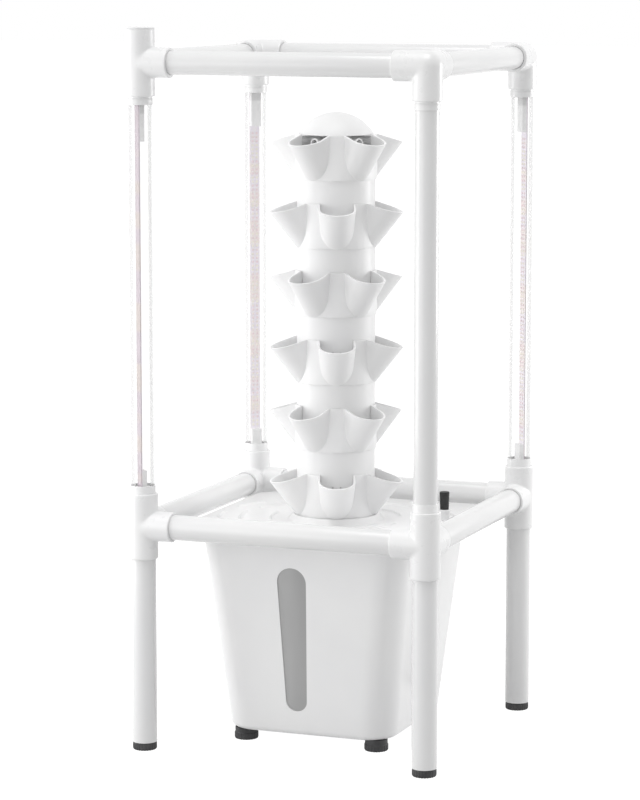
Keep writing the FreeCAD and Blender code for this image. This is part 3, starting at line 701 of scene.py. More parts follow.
# %% Eight bushings and the cap
COLLAR = 10.5 * MM
LEDGE = 5.0 * MM
BUSHING_BORE = 15.05 * MM
LEDGE_BORE = 12.0 * MM
BUSHING_EDGE = 0.8 * MM
GROOVE_RADIUS = 15.4 * MM
GROOVE_WIDTH = 3.0 * MM
low = middle_height + STOP
high = top_height - STOP
mouth = low + SOCKET_DEPTH + COLLAR
lower = [(LEG_RADIUS, low, BUSHING_EDGE), (LEG_RADIUS, mouth, BUSHING_EDGE),
         (BUSHING_BORE, mouth, 0.4 * MM), (BUSHING_BORE, low + LEDGE, 0.0),
         (LEDGE_BORE, low + LEDGE, 0.0), (LEDGE_BORE, low, 0.0)]
upper = [(across, low + high - along, soft) for across, along, soft in lower]
groove = high - SOCKET_DEPTH
groove_end = groove - GROOVE_WIDTH
upper[1:1] = [(LEG_RADIUS, groove, 0.0), (GROOVE_RADIUS, groove, 0.0),
              (GROOVE_RADIUS, groove_end, 0.3 * MM), (LEG_RADIUS, groove_end, 0.3 * MM)]
bushing_skins = [turned(rounded(corners, closed=True), spot, closed=True)
                 for spot in spots.values() for corners in (lower, upper)]
add_piece("bushing_skins", bushing_skins, ROOT, "fitting_white", ["reducing_bushings"])

cap_low, cap_high = levels("cable_cap")
HOLE_RADIUS = 3.5 * MM
HOLE_OFFSET = 6.0 * MM
print("cap from", round(cap_low, 4), "to", round(cap_high, 4))


def cap_skin(spot, low, rim, high):
    """A cap with an off-centre hole: rings slide from the hole's circle to the cap's circle.

    ring(s) = centre(s) + radius(s) * (cos a, sin a), where both go evenly from hole to rim.
    """
    face = FITTING_RADIUS
    rows = [(1.0, HOLE_RADIUS, low), (1.0, HOLE_RADIUS, high - 0.6 * MM),
            (1.0, HOLE_RADIUS + 0.5 * MM, high)]
    for share in np.linspace(0.1, 0.94, 12):
        radius = HOLE_RADIUS + (face - HOLE_RADIUS) * share
        rows.append((1.0 - share, radius, high - 0.9 * MM * share ** 3))
    rows += [(0.0, face - 0.3 * MM, high - 1.3 * MM), (0.0, face, high - 1.9 * MM),
             (0.0, face, rim + 0.1 * MM), (0.0, face, rim), (0.0, LEG_RADIUS, rim),
             (0.0, LEG_RADIUS, low)]
    circle = unit_ring(UP, 72)
    points = [spot + circle * radius + np.array([0.0, -HOLE_OFFSET * share, level])
              for share, radius, level in rows]
    return patch(np.stack(points), round_rows=True)


cap = cap_skin(spots["front_left"], cap_low, top_height + FITTING_REACH, cap_high)
dress("cable_cap", [cap], "fitting_white")

# %% [markdown]
# ## Screw feet
#
# The black feet have a fluted edge to turn them by hand. Their skin is a radius that depends on
# angle and height: the flutes are a repeated dip in the radius that fades out at the top.

# %% Eight fluted feet
FLUTES = 24
FLUTE_DEPTH = 0.9 * MM
FOOT_RADIUS = 15.5 * MM
PAD_RADIUS = 14.5 * MM
STEM_RADIUS = 4.0 * MM


def foot_skin(height, stem_top):
    """radius(a, h) = body radius(h) - depth * fade(h) * (0.5 + 0.5 cos(flutes * a))^2."""
    level = leg_foot_size - 1.6 * MM
    body = [(0.0, 0.0, 0.0), (PAD_RADIUS, 0.0, 0.5 * MM), (FOOT_RADIUS, 1.6 * MM, 0.6 * MM),
            (FOOT_RADIUS, level, 0.8 * MM)]
    if height > leg_foot_size + MM:
        neck = FOOT_RADIUS - 0.9 * MM
        body += [(neck, leg_foot_size - 0.8 * MM, 0.3 * MM), (neck, height, 0.3 * MM)]
    else:
        body += [(FOOT_RADIUS - 0.6 * MM, height, 0.3 * MM)]
    body += [(STEM_RADIUS, height, 0.0), (STEM_RADIUS, stem_top, 0.4 * MM), (0.0, stem_top, 0.0)]
    profile = rounded(body, steps=3)
    sides = [(FOOT_RADIUS, value) for value in np.linspace(2.0 * MM, level - 0.5 * MM, 5)]
    cut = int(np.argmax(profile[:, 1] > 2.1 * MM))
    profile = np.concatenate([profile[:cut], sides, profile[cut:]])
    across, along = profile[:, :1], profile[:, 1:]
    angle = full_turn(FLUTES * 8)
    rim = np.clip(across / PAD_RADIUS - 0.8, 0.0, 0.2) * 5
    fade = np.clip((level - along) / (1.4 * MM), 0.0, 1.0) * rim
    reach = across - fade * FLUTE_DEPTH * (0.5 + 0.5 * np.cos(FLUTES * angle)) ** 2
    return patch(polar(angle, reach, along))


leg_foot_size = levels("leg_front_left")[0]
for kind, height in (("leg_foot_", leg_foot_size), ("tank_foot_", levels("tank")[0])):
    for name in signs:
        node = kind + name
        centre = as_made(node)[0]
        skin = moved(foot_skin(height, levels(node)[1]), (centre[0], centre[1], 0.0))
        dress(node, [skin], "foot_black")
print("feet", round(leg_foot_size, 4), "m high under the legs")

# %% [markdown]
# ## Planting tiers
#
# The tier is the form that makes this object. Its wall is a circle with five pockets that lean
# outwards as they rise. Each pocket is half a leaning cone, widest at the top, with flat sides
# that run into the crown. Seen from the tower's axis, every direction meets the wall once, so the
# wall is a distance that depends on angle and height. The lip is where the wall meets a shallow
# cone that falls towards the pocket's tip. In every row of the grid the pocket's columns spread
# to the crease where the pocket leaves the crown, so that crease stays crisp.

# %% The wall of a tier
CROWN_HEIGHT = 58.0 * MM
CROWN_RADIUS = 53.0 * MM
CROWN_BORE = 51.0 * MM
NECK_RADIUS = 50.7 * MM
NECK_BORE = 48.4 * MM
NECK_LOW = -51.5 * MM
TIP_RADIUS = 90.0 * MM
TIP_HEIGHT = 46.0 * MM
POCKET_HALF = 24.75 * MM
POCKET_BASE_HALF = 20.5 * MM
POCKET_WALL = 2.4 * MM
LIP_FALL = (CROWN_HEIGHT - TIP_HEIGHT) / (TIP_RADIUS - CROWN_RADIUS)
LIP_REPEATS = 30
TIER_FLOOR = 2.4 * MM
TIERS = 6
POCKETS = 5
SECTOR = 2 * math.pi / POCKETS
POCKET_COLUMNS = 49
slant = math.hypot(TIP_RADIUS - CROWN_RADIUS, TIP_HEIGHT)
widening = math.asin((POCKET_HALF - POCKET_BASE_HALF) / slant)
lean = math.atan2(TIP_RADIUS - CROWN_RADIUS, TIP_HEIGHT) - widening


def wall_distance(turn, height, inset, crown):
    """How far a tier's wall is from the axis, at a turn from the pocket's middle and a height.

    Out along the ray, out = a d + b is the way past the leaning cone's axis and room = c d + e is
    the cone's radius there. The ray leaves through a flat side where d sin(turn) = room, or else
    through the cone where out^2 + (d sin(turn))^2 = room^2. The crown's circle is the least distance.
    """
    sine = np.abs(np.sin(turn))
    level = height - POCKET_BASE_HALF * math.sin(lean)
    start = CROWN_RADIUS - POCKET_BASE_HALF * math.cos(lean)
    a = np.cos(turn) * math.cos(lean)
    b = -start * math.cos(lean) - level * math.sin(lean)
    c = np.cos(turn) * math.sin(lean) * math.tan(widening)
    rise = level * math.cos(lean) - start * math.sin(lean)
    e = POCKET_BASE_HALF - inset + math.tan(widening) * rise
    side = e / np.maximum(sine - c, 1e-9)
    square = a * a + sine * sine - c * c
    middle_term = a * b - c * e
    inside = np.maximum(middle_term ** 2 - square * (b * b - e * e), 0.0)
    end = (np.sqrt(inside) - middle_term) / square
    return np.maximum(np.where(a * side + b <= 0.0, side, end), crown)


def lip_height(turn, inset, crown):
    """The height where the wall meets the lip's cone, by repeats of height = cone(distance)."""
    height = np.full_like(turn, CROWN_HEIGHT)
    for repeat in range(LIP_REPEATS):
        distance = wall_distance(turn, height, inset, crown)
        height = CROWN_HEIGHT - (distance - CROWN_RADIUS) * LIP_FALL
    return np.minimum(height, CROWN_HEIGHT)


def crease_turn(height, inset, crown):
    """The turn at which a pocket leaves the crown: the widest one where the wall is past it."""
    tries = np.linspace(0.0, SECTOR / 2, 4001)
    past = wall_distance(tries, height, inset, crown) > crown + 1e-7
    return max(tries[past].max() if past.any() else 0.0, math.radians(3.0))


def row_turns(crease):
    """The turns of a fifth of a row: the pocket's columns to the crease, then the holes' lines."""
    pocket = np.linspace(-crease, crease, POCKET_COLUMNS)
    beside = crease + math.radians(1.5)
    return np.concatenate([pocket, [beside], hole_turns, [SECTOR - beside]])


HOLE_MIDDLE, HOLE_HALF = 5.15 * MM, 1.0 * MM
hole_middle, hole_half = HOLE_MIDDLE / NECK_RADIUS, HOLE_HALF / NECK_RADIUS
hole_turns = SECTOR / 2 + np.array([-hole_middle - hole_half, -hole_middle + hole_half, 0.0,
                                    hole_middle - hole_half, hole_middle + hole_half])
sector_columns = len(row_turns(0.3))
sector_starts = np.arange(POCKETS)[:, None] * SECTOR
tip = wall_distance(np.zeros(1), TIP_HEIGHT, 0.0, CROWN_RADIUS)
print("columns in a tier:", POCKETS * sector_columns, "- tip at", round(float(tip[0]), 4))

# %% One tier as a grid
HOLE_LEVELS = (NECK_LOW + 7.0 * MM, NECK_LOW + 5.0 * MM)
LIP_EDGE = 0.5 * MM
HUB_LOW, HUB_HIGH = -8.0 * MM, -2.0 * MM
HUB_RADIUS, HUB_BORE = 13.5 * MM, 10.5 * MM
HALF_ARM = 1.5 * MM
SEAT_RADIUS, SEAT_HIGH = 46.3 * MM, 36.0 * MM
TUCK = 0.6 * MM
SINK = 0.3 * MM


def tier_skins():
    """The closed skin of one tier about its own axis, and the spider and seat ribs inside it."""
    top_out = row_turns(crease_turn(CROWN_HEIGHT, 0.0, CROWN_RADIUS))
    top_in = row_turns(crease_turn(CROWN_HEIGHT, POCKET_WALL, CROWN_BORE))
    plain = row_turns(math.radians(24.0))

    def folded(turn):
        return np.where(turn > SECTOR / 2, turn - SECTOR, turn)

    lip_out = lip_height(folded(top_out), 0.0, CROWN_RADIUS)
    lip_in = lip_height(folded(top_in), POCKET_WALL, CROWN_BORE)
    rows = []

    def row(turn, distance, height):
        rows.append(polar(sector_starts + turn, distance, height).reshape(-1, 3))

    steps = np.linspace(0.1, 1.0, 44) ** 1.5
    row(plain, CROWN_RADIUS - 0.5 * MM, 0.0)
    for level in [0.010, *steps]:
        turn = row_turns(crease_turn(level * (CROWN_HEIGHT - LIP_EDGE), 0.0, CROWN_RADIUS))
        height = level * (lip_out - LIP_EDGE)
        row(turn, wall_distance(folded(turn), height, 0.0, CROWN_RADIUS), height)
    reach_out = wall_distance(folded(top_out), lip_out, 0.0, CROWN_RADIUS)
    reach_in = wall_distance(folded(top_in), lip_in, POCKET_WALL, CROWN_BORE)
    for share, drop in ((0.06, 0.16), (0.18, 0.02), (0.5, 0.0), (0.82, 0.02), (0.94, 0.16)):
        turn, distance, height = [out + (within - out) * share for out, within in (
            (top_out, top_in), (reach_out, reach_in), (lip_out, lip_in))]
        row(turn, distance, height - drop * MM)
    for level in [*steps[::-1], 0.010]:
        depth = CROWN_HEIGHT - LIP_EDGE - TIER_FLOOR
        turn = row_turns(crease_turn(TIER_FLOOR + level * depth, POCKET_WALL, CROWN_BORE))
        height = TIER_FLOOR + level * (lip_in - LIP_EDGE - TIER_FLOOR)
        row(turn, wall_distance(folded(turn), height, POCKET_WALL, CROWN_BORE), height)
    row(plain, CROWN_BORE - 0.2 * MM, TIER_FLOOR)
    row(plain, NECK_BORE, TIER_FLOOR)
    inner_first = len(rows)
    for height in (*HOLE_LEVELS, NECK_LOW + 0.3 * MM):
        row(plain, NECK_BORE, height)
    row(plain, NECK_BORE + 0.3 * MM, NECK_LOW)
    row(plain, NECK_RADIUS - 0.5 * MM, NECK_LOW)
    outer_first = len(rows) + 1
    for height in (NECK_LOW + 0.5 * MM, *HOLE_LEVELS[::-1], 0.0):
        row(plain, NECK_RADIUS, height)
    points, quads = patch(np.stack(rows), round_rows=True)

    # The drip holes: two quads in each sector go, inside and outside, and four walls join them.
    columns = POCKETS * sector_columns
    sector_holes = POCKET_COLUMNS + 1 + np.array([0, 3])
    left = (np.arange(POCKETS)[:, None] * sector_columns + sector_holes).ravel()
    right = (left + 1) % columns
    inner, outer = inner_first * columns, outer_first * columns
    keep = np.ones(len(quads), bool)
    keep[np.concatenate([inner + left, outer + left])] = False
    corners = [(inner + left, outer + columns + left), (inner + right, outer + columns + right),
               (inner + columns + left, outer + left), (inner + columns + right, outer + right)]
    walls = [np.stack([corners[a][0], *corners[b], corners[a][1]], axis=1)
             for a, b in ((0, 1), (2, 3), (0, 2), (1, 3))]
    skins = [(points, np.concatenate([quads[keep]] + walls))]
    skins.append(pipe_skin(HUB_RADIUS, HUB_BORE, HUB_LOW, HUB_HIGH, edge=0.5 * MM, around=48))
    for number in range(POCKETS):
        between = (number + 0.5) * SECTOR
        skins.append(bar_skin((HUB_RADIUS - SINK, -HALF_ARM, HUB_LOW + SINK),
                              (NECK_BORE + TUCK, HALF_ARM, HUB_HIGH - SINK), between))
        skins.append(bar_skin((SEAT_RADIUS, -HALF_ARM, TIER_FLOOR / 2),
                              (CROWN_BORE + TUCK, HALF_ARM, SEAT_HIGH), between))
    return skins


FIRST_POCKET = math.radians(-68.0)
TIER_PITCH = levels("tier_2")[0] - levels("tier_1")[0]
tower_base = levels("tier_1")[0] - NECK_LOW
one_tier = tier_skins()
for number in range(TIERS):
    turn = FIRST_POCKET + SECTOR / 2 * (number % 2)
    shift = (0.0, 0.0, tower_base + TIER_PITCH * number)
    placed = [moved(spun(skin, turn), shift) for skin in one_tier]
    dress("tier_%d" % (number + 1), placed, "tower_white", crease=32.0)
print("tier pitch", round(TIER_PITCH, 4), "m, base", round(tower_base, 4), "m")

# %% [markdown]
# ## Dome and distributor
#
# Under the dome a small cup splits the water into five spouts. The dome is a shallow shell with a
# soft edge, and its socket sits on the distributor's stem.

# %% The dome cap
dome_low, dome_high = levels("dome_cap")
DOME_RADIUS = 48.6 * MM
DOME_WALL = 2.0 * MM
SOCKET_OUTER = 6.05 * MM
SOCKET_BORE = 4.1 * MM
dome_edge = tower_base + (TIERS - 1) * TIER_PITCH + CROWN_HEIGHT - 0.5 * MM
dome_rise = dome_high - dome_edge
ball = (DOME_RADIUS ** 2 + dome_rise ** 2) / (2 * dome_rise)


def dome_skin():
    """Two shells of a ball: across = R sin b, along = centre + R cos b, joined by a round edge."""
    centre = dome_high - ball

    def arc(radius, start, end, count):
        swing = np.linspace(start, end, count)
        return np.stack([radius * np.sin(swing), centre + radius * np.cos(swing)], axis=1)

    inner_ball = ball - DOME_WALL
    inner_edge = math.asin((DOME_RADIUS - DOME_WALL) / inner_ball)
    outside = arc(ball, 0.0, math.asin(DOME_RADIUS / ball), 40)
    inside = arc(inner_ball, inner_edge, math.asin(6.0 * MM / inner_ball), 24)
    lip = np.array([(DOME_RADIUS - DOME_WALL * 0.5, dome_edge)])
    roof = dome_high - DOME_WALL
    stem = rounded([(SOCKET_OUTER, inside[-1, 1], 0.0), (SOCKET_OUTER, dome_low, 0.3 * MM),
                    (SOCKET_BORE, dome_low, 0.3 * MM), (SOCKET_BORE, roof, 0.0), (0.0, roof, 0.0)])
    return turned(np.concatenate([outside, lip, inside, stem]), around=96)


dome = add_piece("dome_skin", [dome_skin()], body_of["dome_cap"], "tower_white", ["dome_cap"])
# The dome takes the tiers' white painted darker: painted shade against the light from above.
dome.data.materials[0] = finishes["dome_painted_shade_white"].material
print("dome rises", round(dome_rise, 4), "m")

# %% The distributor and its five spouts
dist_low, dist_high = levels("distributor")
ring_low = dist_low + 11.0 * MM
ring_high = ring_low + 3.0 * MM
cup_high = dist_high - 18.0 * MM
spout_level = ring_low + 12.0 * MM
CUP_RADIUS = 18.0 * MM
SPOUT_RADIUS = 6.0 * MM
SPOUT_BORE = 4.0 * MM
SPOUT_START, BORE_START = 14.0 * MM, 20.0 * MM
RING_RADIUS, RING_BORE = 50.4 * MM, 45.4 * MM
SLEEVE_RADIUS, SLEEVE_BORE = 12.5 * MM, 10.05 * MM
ARM_START, ARM_END = 16.5 * MM, 47.0 * MM
ARM_INSET = 0.2 * MM


def spout_skin():
    """One spout: a straight tube out of the cup, with a rounded mouth and a blind bore."""
    reach = CROWN_BORE - 2.0 * MM
    corners = [(0.0, SPOUT_START, 0.0), (SPOUT_RADIUS, SPOUT_START, 0.0),
               (SPOUT_RADIUS, reach, 0.5 * MM), (SPOUT_BORE, reach, 0.3 * MM),
               (SPOUT_BORE, BORE_START, 0.0), (0.0, BORE_START, 0.0)]
    return turned(rounded(corners), (0.0, 0.0, spout_level), (1.0, 0.0, 0.0), 40)


cup = rounded([(0.0, ring_low, 0.0), (CUP_RADIUS, ring_low, 1.0 * MM),
               (CUP_RADIUS, cup_high, 3.0 * MM), (STEM_RADIUS, cup_high, 1.0 * MM),
               (STEM_RADIUS, dist_high, 0.6 * MM), (0.0, dist_high, 0.0)])
distributor_skins = [pipe_skin(RING_RADIUS, RING_BORE, ring_low, ring_high, edge=0.5 * MM),
                     turned(cup),
                     pipe_skin(SLEEVE_RADIUS, SLEEVE_BORE, dist_low, ring_low + 0.5 * MM)]
spout_turn = FIRST_POCKET + SECTOR / 2
for number in range(POCKETS):
    distributor_skins.append(spun(spout_skin(), spout_turn + number * SECTOR))
    arm_low = (ARM_START, -HALF_ARM, ring_low + ARM_INSET)
    arm_high = (ARM_END, HALF_ARM, ring_high - ARM_INSET)
    distributor_skins.append(bar_skin(arm_low, arm_high, spout_turn + (number + 0.5) * SECTOR))
dress("distributor", distributor_skins, "tower_white")
print("spouts at", round(spout_level, 4))

# %% [markdown]
# ## Tank and water window
#
# The tub is a rounded square that widens towards its rim. Each level of the profile is the same
# outline with its own half width and corner radius. The window sits in a shallow recess in the
# front wall, which a Boolean cuts from the flat front.

# %% The tub
TANK_WALL = 3.0 * MM
BASE_HALF = 113.0 * MM
RIM_HALF = 141.0 * MM
CORNER = 40.0 * MM
BASE_EDGE = 8.0 * MM
FLANGE = 14.0 * MM
QUARTER = np.array([(0, 1), (-1, 0)])
floor_level, rim = levels("tank")
slope = (RIM_HALF - BASE_HALF) / (rim - floor_level)


def square_ring(half, corner, level, bend=10):
    """One level of the tub: a square of half width `half` with corners of radius `corner`.

    A quarter is its corner's arc, and the other three are that quarter turned by right angles.
    """
    swing = np.linspace(0.0, np.pi / 2, bend + 1)
    flat = half - corner
    quarters = [np.stack([flat + corner * np.cos(swing), flat + corner * np.sin(swing)], axis=1)]
    for side in range(3):
        quarters.append(quarters[-1] @ QUARTER)
    outline = np.concatenate(quarters)
    return np.concatenate([outline, np.full((len(outline), 1), level)], axis=1)


def square_skin(rows, closed=False, bend=10):
    """A skin of levels, each (half width, corner radius, height)."""
    return patch(np.stack([square_ring(*row, bend=bend) for row in rows]), round_rows=closed)


def wall_half(level):
    """The half width of the tub's outside at a level."""
    return BASE_HALF + (level - floor_level) * slope


edge = RIM_HALF + FLANGE
inner_floor, under_rim = floor_level + TANK_WALL, rim - TANK_WALL
tub_corners = [(0.0, floor_level, 0.0), (BASE_HALF + 0.4 * MM, floor_level, BASE_EDGE),
               (RIM_HALF - TANK_WALL * slope, under_rim, 1.5 * MM), (edge, under_rim, 0.8 * MM),
               (edge, rim, 0.8 * MM), (RIM_HALF - TANK_WALL, rim, 1.5 * MM),
               (BASE_HALF - TANK_WALL, inner_floor, 6.0 * MM), (0.0, inner_floor, 0.0)]
tub_rows = [(half, float(np.clip(CORNER + half - wall_half(level), 0.0, half)), level)
            for half, level in rounded(tub_corners, steps=6)]
tub = dress("tank", [square_skin(tub_rows, bend=16)], "tank_white", crease=30.0)
print("tub", round(floor_level, 4), "to", round(rim, 4), "m")

# %% The window and its recess
taper = math.atan(slope)
WINDOW_X = -9.0 * MM
WINDOW_LOW, WINDOW_HIGH = 62.0 * MM, 219.0 * MM
LOW_CENTRE = (WINDOW_LOW - floor_level) / math.cos(taper)
HIGH_CENTRE = (WINDOW_HIGH - floor_level) / math.cos(taper)
LOW_RADIUS = 14.3 * MM
HIGH_RADIUS = 19.7 * MM


def slot_ring(shrink, depth, bend=24):
    """The window's outline, smaller by shrink, at a depth behind the front face.

    Two arcs of different radius joined by their tangents, in a plane that leans with the wall.
    """
    low_radius = LOW_RADIUS - shrink
    high_radius = HIGH_RADIUS - shrink
    flare = math.asin((high_radius - low_radius) / (HIGH_CENTRE - LOW_CENTRE))
    upper = np.linspace(-flare, math.pi + flare, bend)
    lower = np.linspace(math.pi + flare, 2 * math.pi - flare, bend)
    x = np.concatenate([high_radius * np.cos(upper), low_radius * np.cos(lower)])
    z = np.concatenate([HIGH_CENTRE + high_radius * np.sin(upper),
                        LOW_CENTRE + low_radius * np.sin(lower)])
    lean_y = depth * math.cos(taper) - z * math.sin(taper)
    lean_z = depth * math.sin(taper) + z * math.cos(taper)
    return np.stack([x + WINDOW_X, lean_y - BASE_HALF, lean_z + floor_level], axis=1)


def slot_skin(steps):
    """A plug of the window's outline: each step is (shrink, depth), and both ends are closed."""
    rings = [slot_ring(shrink, depth) for shrink, depth in steps]
    first, last = [np.broadcast_to(ring.mean(axis=0), ring.shape) for ring in (rings[0], rings[-1])]
    return patch(np.stack([first] + rings + [last]))


def cut_out(piece, skin):
    """Cut a closed skin out of a piece with a Boolean, and keep only the result."""
    cutter = add_piece("cutter", [skin], ROOT, "tank_white")
    modifier = piece.modifiers.new("cut", "BOOLEAN")
    modifier.operation = "DIFFERENCE"
    modifier.solver = "EXACT"
    modifier.object = cutter
    graph = bpy.context.evaluated_depsgraph_get()
    cut_mesh = bpy.data.meshes.new_from_object(piece.evaluated_get(graph))
    piece.modifiers.clear()
    piece.data = cut_mesh
    bpy.data.objects.remove(cutter)
    cut_mesh.shade_smooth()
    cut_mesh.set_sharp_from_angle(angle=math.radians(30.0))


cut_out(tub, slot_skin([(-0.5 * MM, -2.0 * MM), (0.0, 0.0), (0.0, 2.0 * MM)]))
cut_out(tub, slot_skin([(2.5 * MM, 0.5 * MM), (2.5 * MM, 4.5 * MM)]))
pane = slot_skin([(0.1 * MM, 2.0 * MM), (0.1 * MM, 0.8 * MM), (0.4 * MM, 0.6 * MM)])
dress("water_window", [pane], "window_grey")
print("window up to", round(levels("water_window")[1], 4))

# %% [markdown]
# ## Lid
#
# The lid's top is a grid of rings around the tower. From the round collar the rings change into
# the lid's rounded square, and the broken ripples are a soft rise where the distance and the
# angle both fall inside an arc.

# %% The lid's top and edge
LID_HALF = 170.0 * MM
LID_CORNER = 34.0 * MM
LID_PLATE = 3.0 * MM
lid_top = tower_base - 6.5 * MM
collar_high = tower_base + 1.5 * MM
RECESS = CROWN_RADIUS + 1.3 * MM
WELL_OUTER = CROWN_BORE + 2.3 * MM
COLLAR_FOOT = 62.0 * MM
RING_START = 66.0 * MM
WELL_HUB, WELL_HUB_BORE = 17.0 * MM, 10.2 * MM
SPOKE_START, HALF_SPOKE = 16.6 * MM, 2.0 * MM
LIP_CORNER, LIP_DEPTH, LIP_WALL = 35.0 * MM, 16.0 * MM, 2.5 * MM
RIPPLES = ((86.0 * MM, 5, 40.0), (126.0 * MM, 9, 28.0), (154.0 * MM, 11, 21.0))
RIPPLE_MIDDLE = 191.5
RIPPLE_RISE = 2.6 * MM
RIPPLE_HALF = 2.4 * MM
RIPPLE_FADE = 5.0 * MM
LID_EDGE = ((1.6, 0.15), (0.7, 0.6), (0.15, 1.5), (0.0, 2.6), (0.0, 8.0), (0.4, 8.5), (2.1, 8.5),
            (2.5, 8.0))


def square_distance(angle, half, corner):
    """How far a rounded square's edge is from its middle at an angle.

    The ray ends on the flat side, at half / cos, or else where it leaves the corner's circle.
    """
    folded = np.abs((angle + np.pi / 4) % (np.pi / 2) - np.pi / 4)
    straight = half / np.cos(folded)
    flat = half - corner
    along = flat * (np.cos(folded) + np.sin(folded))
    apart = 2 * flat ** 2 - along ** 2
    arc = along + np.sqrt(np.maximum(corner ** 2 - apart, 0.0))
    return np.where(straight * np.sin(folded) <= flat, straight, arc)


def ripple_height(distance, angle):
    """rise * cross(distance) * run(angle) for each ripple: both are soft steps."""
    total = np.zeros_like(distance)
    for radius, count, sweep in RIPPLES:
        step = 360.0 / count
        turn_off = (np.degrees(angle) - RIPPLE_MIDDLE + step / 2) % step - step / 2
        run = smooth(np.radians(sweep / 2 - np.abs(turn_off)) * radius / RIPPLE_FADE)
        cross = smooth(1.0 - np.abs(distance - radius) / RIPPLE_HALF)
        total = np.maximum(total, RIPPLE_RISE * cross * run)
    return total


def lid_skins():
    """The lid: top, rolled edge, skirt, underside, well and collar in one skin, and its inner parts."""
    angle = full_turn(480)
    edge = square_distance(angle, LID_HALF, LID_CORNER)
    underside = lid_top - LID_PLATE
    well_low = levels("tank_lid")[0]
    rows = []

    def row(distance, level):
        rows.append(polar(angle, distance, level))

    groove = tower_base - 2.0 * MM
    seat_edge = CROWN_RADIUS + 0.2 * MM
    hub_high = well_low + 6.0 * MM
    for distance, level in rounded([
            (CROWN_BORE, hub_high, 0.0), (CROWN_BORE, tower_base, 0.3 * MM),
            (seat_edge, tower_base, 0.0), (seat_edge, groove, 0.0), (RECESS, groove, 0.0),
            (RECESS, collar_high, 0.4 * MM), (RECESS + 2.0 * MM, collar_high, 1.6 * MM),
            (COLLAR_FOOT, lid_top, 2.5 * MM), (RING_START, lid_top, 0.0)]):
        row(distance, level)
    for share in np.linspace(0.02, 1.0, 150):
        distance = RING_START + share * (edge - 3.0 * MM - RING_START)
        row(distance, lid_top + ripple_height(distance, angle))
    for inset, drop in LID_EDGE:
        row(edge - inset * MM, lid_top - drop * MM)
    for distance, level in ((edge - 2.5 * MM, underside), (WELL_OUTER, underside),
                            (WELL_OUTER, well_low + 0.4 * MM), (WELL_OUTER - 0.4 * MM, well_low),
                            (CROWN_BORE, well_low)):
        row(distance, level)
    skins = [patch(np.stack(rows), round_rows=True)]

    # The seat that lies on the tub's rim, and the lip that hangs inside the tub.
    buried = underside + 0.5 * MM
    seat_middle = RIM_HALF + FLANGE / 2
    outer_seat = (seat_middle + 2.0 * MM, CORNER + 9.0 * MM)
    inner_seat = (seat_middle - 2.0 * MM, CORNER + 5.0 * MM)
    seat = [(*outer_seat, buried), (*outer_seat, rim), (*inner_seat, rim), (*inner_seat, buried)]
    skins.append(square_skin(seat, closed=True))
    lip_low = underside - LIP_DEPTH
    lip_half = wall_half(lip_low) - 5.0 * MM
    lip_high = wall_half(underside) - 5.0 * MM
    lip = [(lip_high, LIP_CORNER, buried), (lip_half, LIP_CORNER, lip_low),
           (lip_half - LIP_WALL, LIP_CORNER - LIP_WALL, lip_low),
           (lip_high - LIP_WALL, LIP_CORNER - LIP_WALL, buried)]
    skins.append(square_skin(lip, closed=True))
    skins.append(pipe_skin(WELL_HUB, WELL_HUB_BORE, well_low, hub_high, edge=0.5 * MM))
    for number in range(POCKETS):
        spoke_low = (SPOKE_START, -HALF_SPOKE, well_low + ARM_INSET)
        spoke_high = (CROWN_BORE + TUCK, HALF_SPOKE, hub_high - ARM_INSET)
        skins.append(bar_skin(spoke_low, spoke_high, FIRST_POCKET + number * SECTOR))
    return skins


PORT_BORE, PORT_NECK, PORT_RIM = 5.0 * MM, 6.5 * MM, 8.0 * MM
plug_spot = as_made("port_plug")[0] * (1.0, 1.0, 0.0)
port_high = lid_top + 14.0 * MM
port = rounded([(PORT_BORE, lid_top - LID_PLATE, 0.0), (PORT_NECK, lid_top - LID_PLATE, 0.0),
                (PORT_NECK, port_high - 3.0 * MM, 0.6 * MM), (PORT_RIM, port_high - 2.4 * MM, 0.5 * MM),
                (PORT_RIM, port_high, 0.8 * MM), (PORT_BORE, port_high, 0.4 * MM)], closed=True)
skins = lid_skins() + [turned(port, plug_spot, closed=True)]
add_piece("lid_skin", skins, body_of["tank_lid"], "tank_white", ["tank_lid"], crease=35.0)
print("lid top", round(lid_top, 4), "m")

# %% The rubber plug
PLUG_HEIGHT = 23.0 * MM
PLUG_RIBS = 9
PLUG_RADIUS, PLUG_FLARE = 5.55 * MM, 0.75 * MM
RIB_DEPTH = 0.28 * MM
SHANK_RADIUS, SHANK_LENGTH = 4.7 * MM, 15.0 * MM


def plug_skin():
    """A ribbed plug: radius(h) = taper(h) + rib * (0.5 + 0.5 cos) up its height, on a plain shank."""
    level = np.linspace(0.0, 1.0, 61)
    ribs = RIB_DEPTH * (0.5 + 0.5 * np.cos(level * 2 * np.pi * PLUG_RIBS))
    side = PLUG_RADIUS + PLUG_FLARE * level + ribs
    side[0] -= 0.3 * MM
    side[-1] -= 0.6 * MM
    grip = np.stack([side, port_high + level * PLUG_HEIGHT], axis=1)
    shank_low = port_high - SHANK_LENGTH
    shank = rounded([(0.0, shank_low, 0.0), (SHANK_RADIUS, shank_low, 0.6 * MM),
                     (SHANK_RADIUS, port_high, 0.0)])
    plug_top = port_high + PLUG_HEIGHT
    top = np.array([(side[-1] - 0.8 * MM, plug_top), (0.0, plug_top)])
    return turned(np.concatenate([shank, grip, top]), plug_spot, around=48)


dress("port_plug", [plug_skin()], "rubber_black")
print("plug", round(PLUG_HEIGHT, 4), "m above its port")
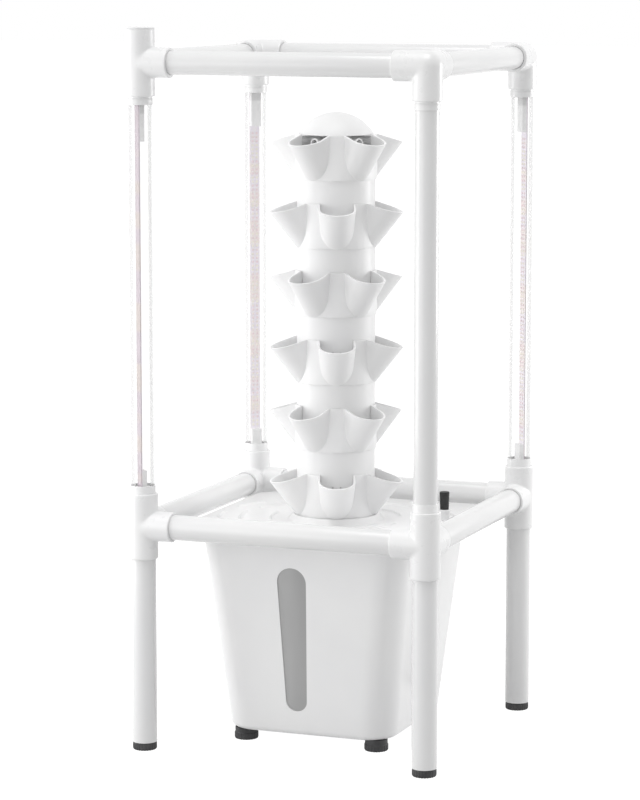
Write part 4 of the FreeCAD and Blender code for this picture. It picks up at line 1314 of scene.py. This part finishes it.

# %% [markdown]
# ## Lamps
#
# Each lamp is a clear tube with a narrow board in it. The board carries two rows of small square
# light chips, and grey potted blocks hold its ends; the top of the upper block, just under the
# fitting, is painted darker as painted shade. The chips are many, so each is only a few faces.

# %% Tubes, boards and chips
TUBE_WALL = 1.5 * MM
CHIP_PITCH = 5.5 * MM
CHIP_SIDE = 3.0 * MM
CHIP_HEIGHT = 0.8 * MM
CHIP_TOP_HALF, CHIP_FOOT_HALF = 1.2 * MM, 1.4 * MM
BOARD_FACE = -3.0 * MM
END_BLOCK = 22.0 * MM
DRIVER = 49.0 * MM
lit_corners = ("front_left", "rear_right", "rear_left")


def chip_skins(low, high, turn, spot):
    """Two rows of small chips on a board's face, as one array of six-sided blocks."""
    heights = np.arange(low + CHIP_PITCH, high - CHIP_PITCH, CHIP_PITCH)
    level, side = [grid.ravel() for grid in np.meshgrid(heights, (-CHIP_SIDE, CHIP_SIDE))]
    square = [(-1, -1), (1, -1), (1, 1), (-1, 1)]
    corner = np.array([(out, *spot) for out in (0.0, 1.0) for spot in square])
    size = np.where(corner[:, :1] > 0, CHIP_TOP_HALF, CHIP_FOOT_HALF)
    local = np.concatenate([corner[:, :1] * CHIP_HEIGHT + BOARD_FACE, corner[:, 1:] * size], axis=1)
    points = local[None, :, :] + np.stack([np.zeros_like(side), side, level], axis=1)[:, None, :]
    block = np.array([(4, 5, 6, 7), (0, 1, 5, 4), (1, 2, 6, 5), (2, 3, 7, 6), (3, 0, 4, 7),
                      (0, 3, 2, 1)])
    quads = block[None, :, :] + 8 * np.arange(len(side))[:, None, None]
    return moved(spun((points.reshape(-1, 3), quads.reshape(-1, 4)), turn), spot)


for name in lit_corners:
    side_x, side_y = signs[name]
    turn = math.atan2(-side_y, -side_x)
    tube = "lamp_tube_" + name
    low, high = levels(tube)
    skin = pipe_skin(POST_RADIUS, POST_RADIUS - TUBE_WALL, low, high, spots[name], edge=0.4 * MM)
    dress(tube, [skin], "clear_tube")
    low, high = levels("lamp_board_" + name)
    skin = chip_skins(low + END_BLOCK, high - DRIVER, turn, spots[name])
    chips = add_piece("lamp_chips_" + name, [skin], body_of[tube], "lamp_board")
    chips.data.materials[0] = chip.material
print("lamps", len(lit_corners))
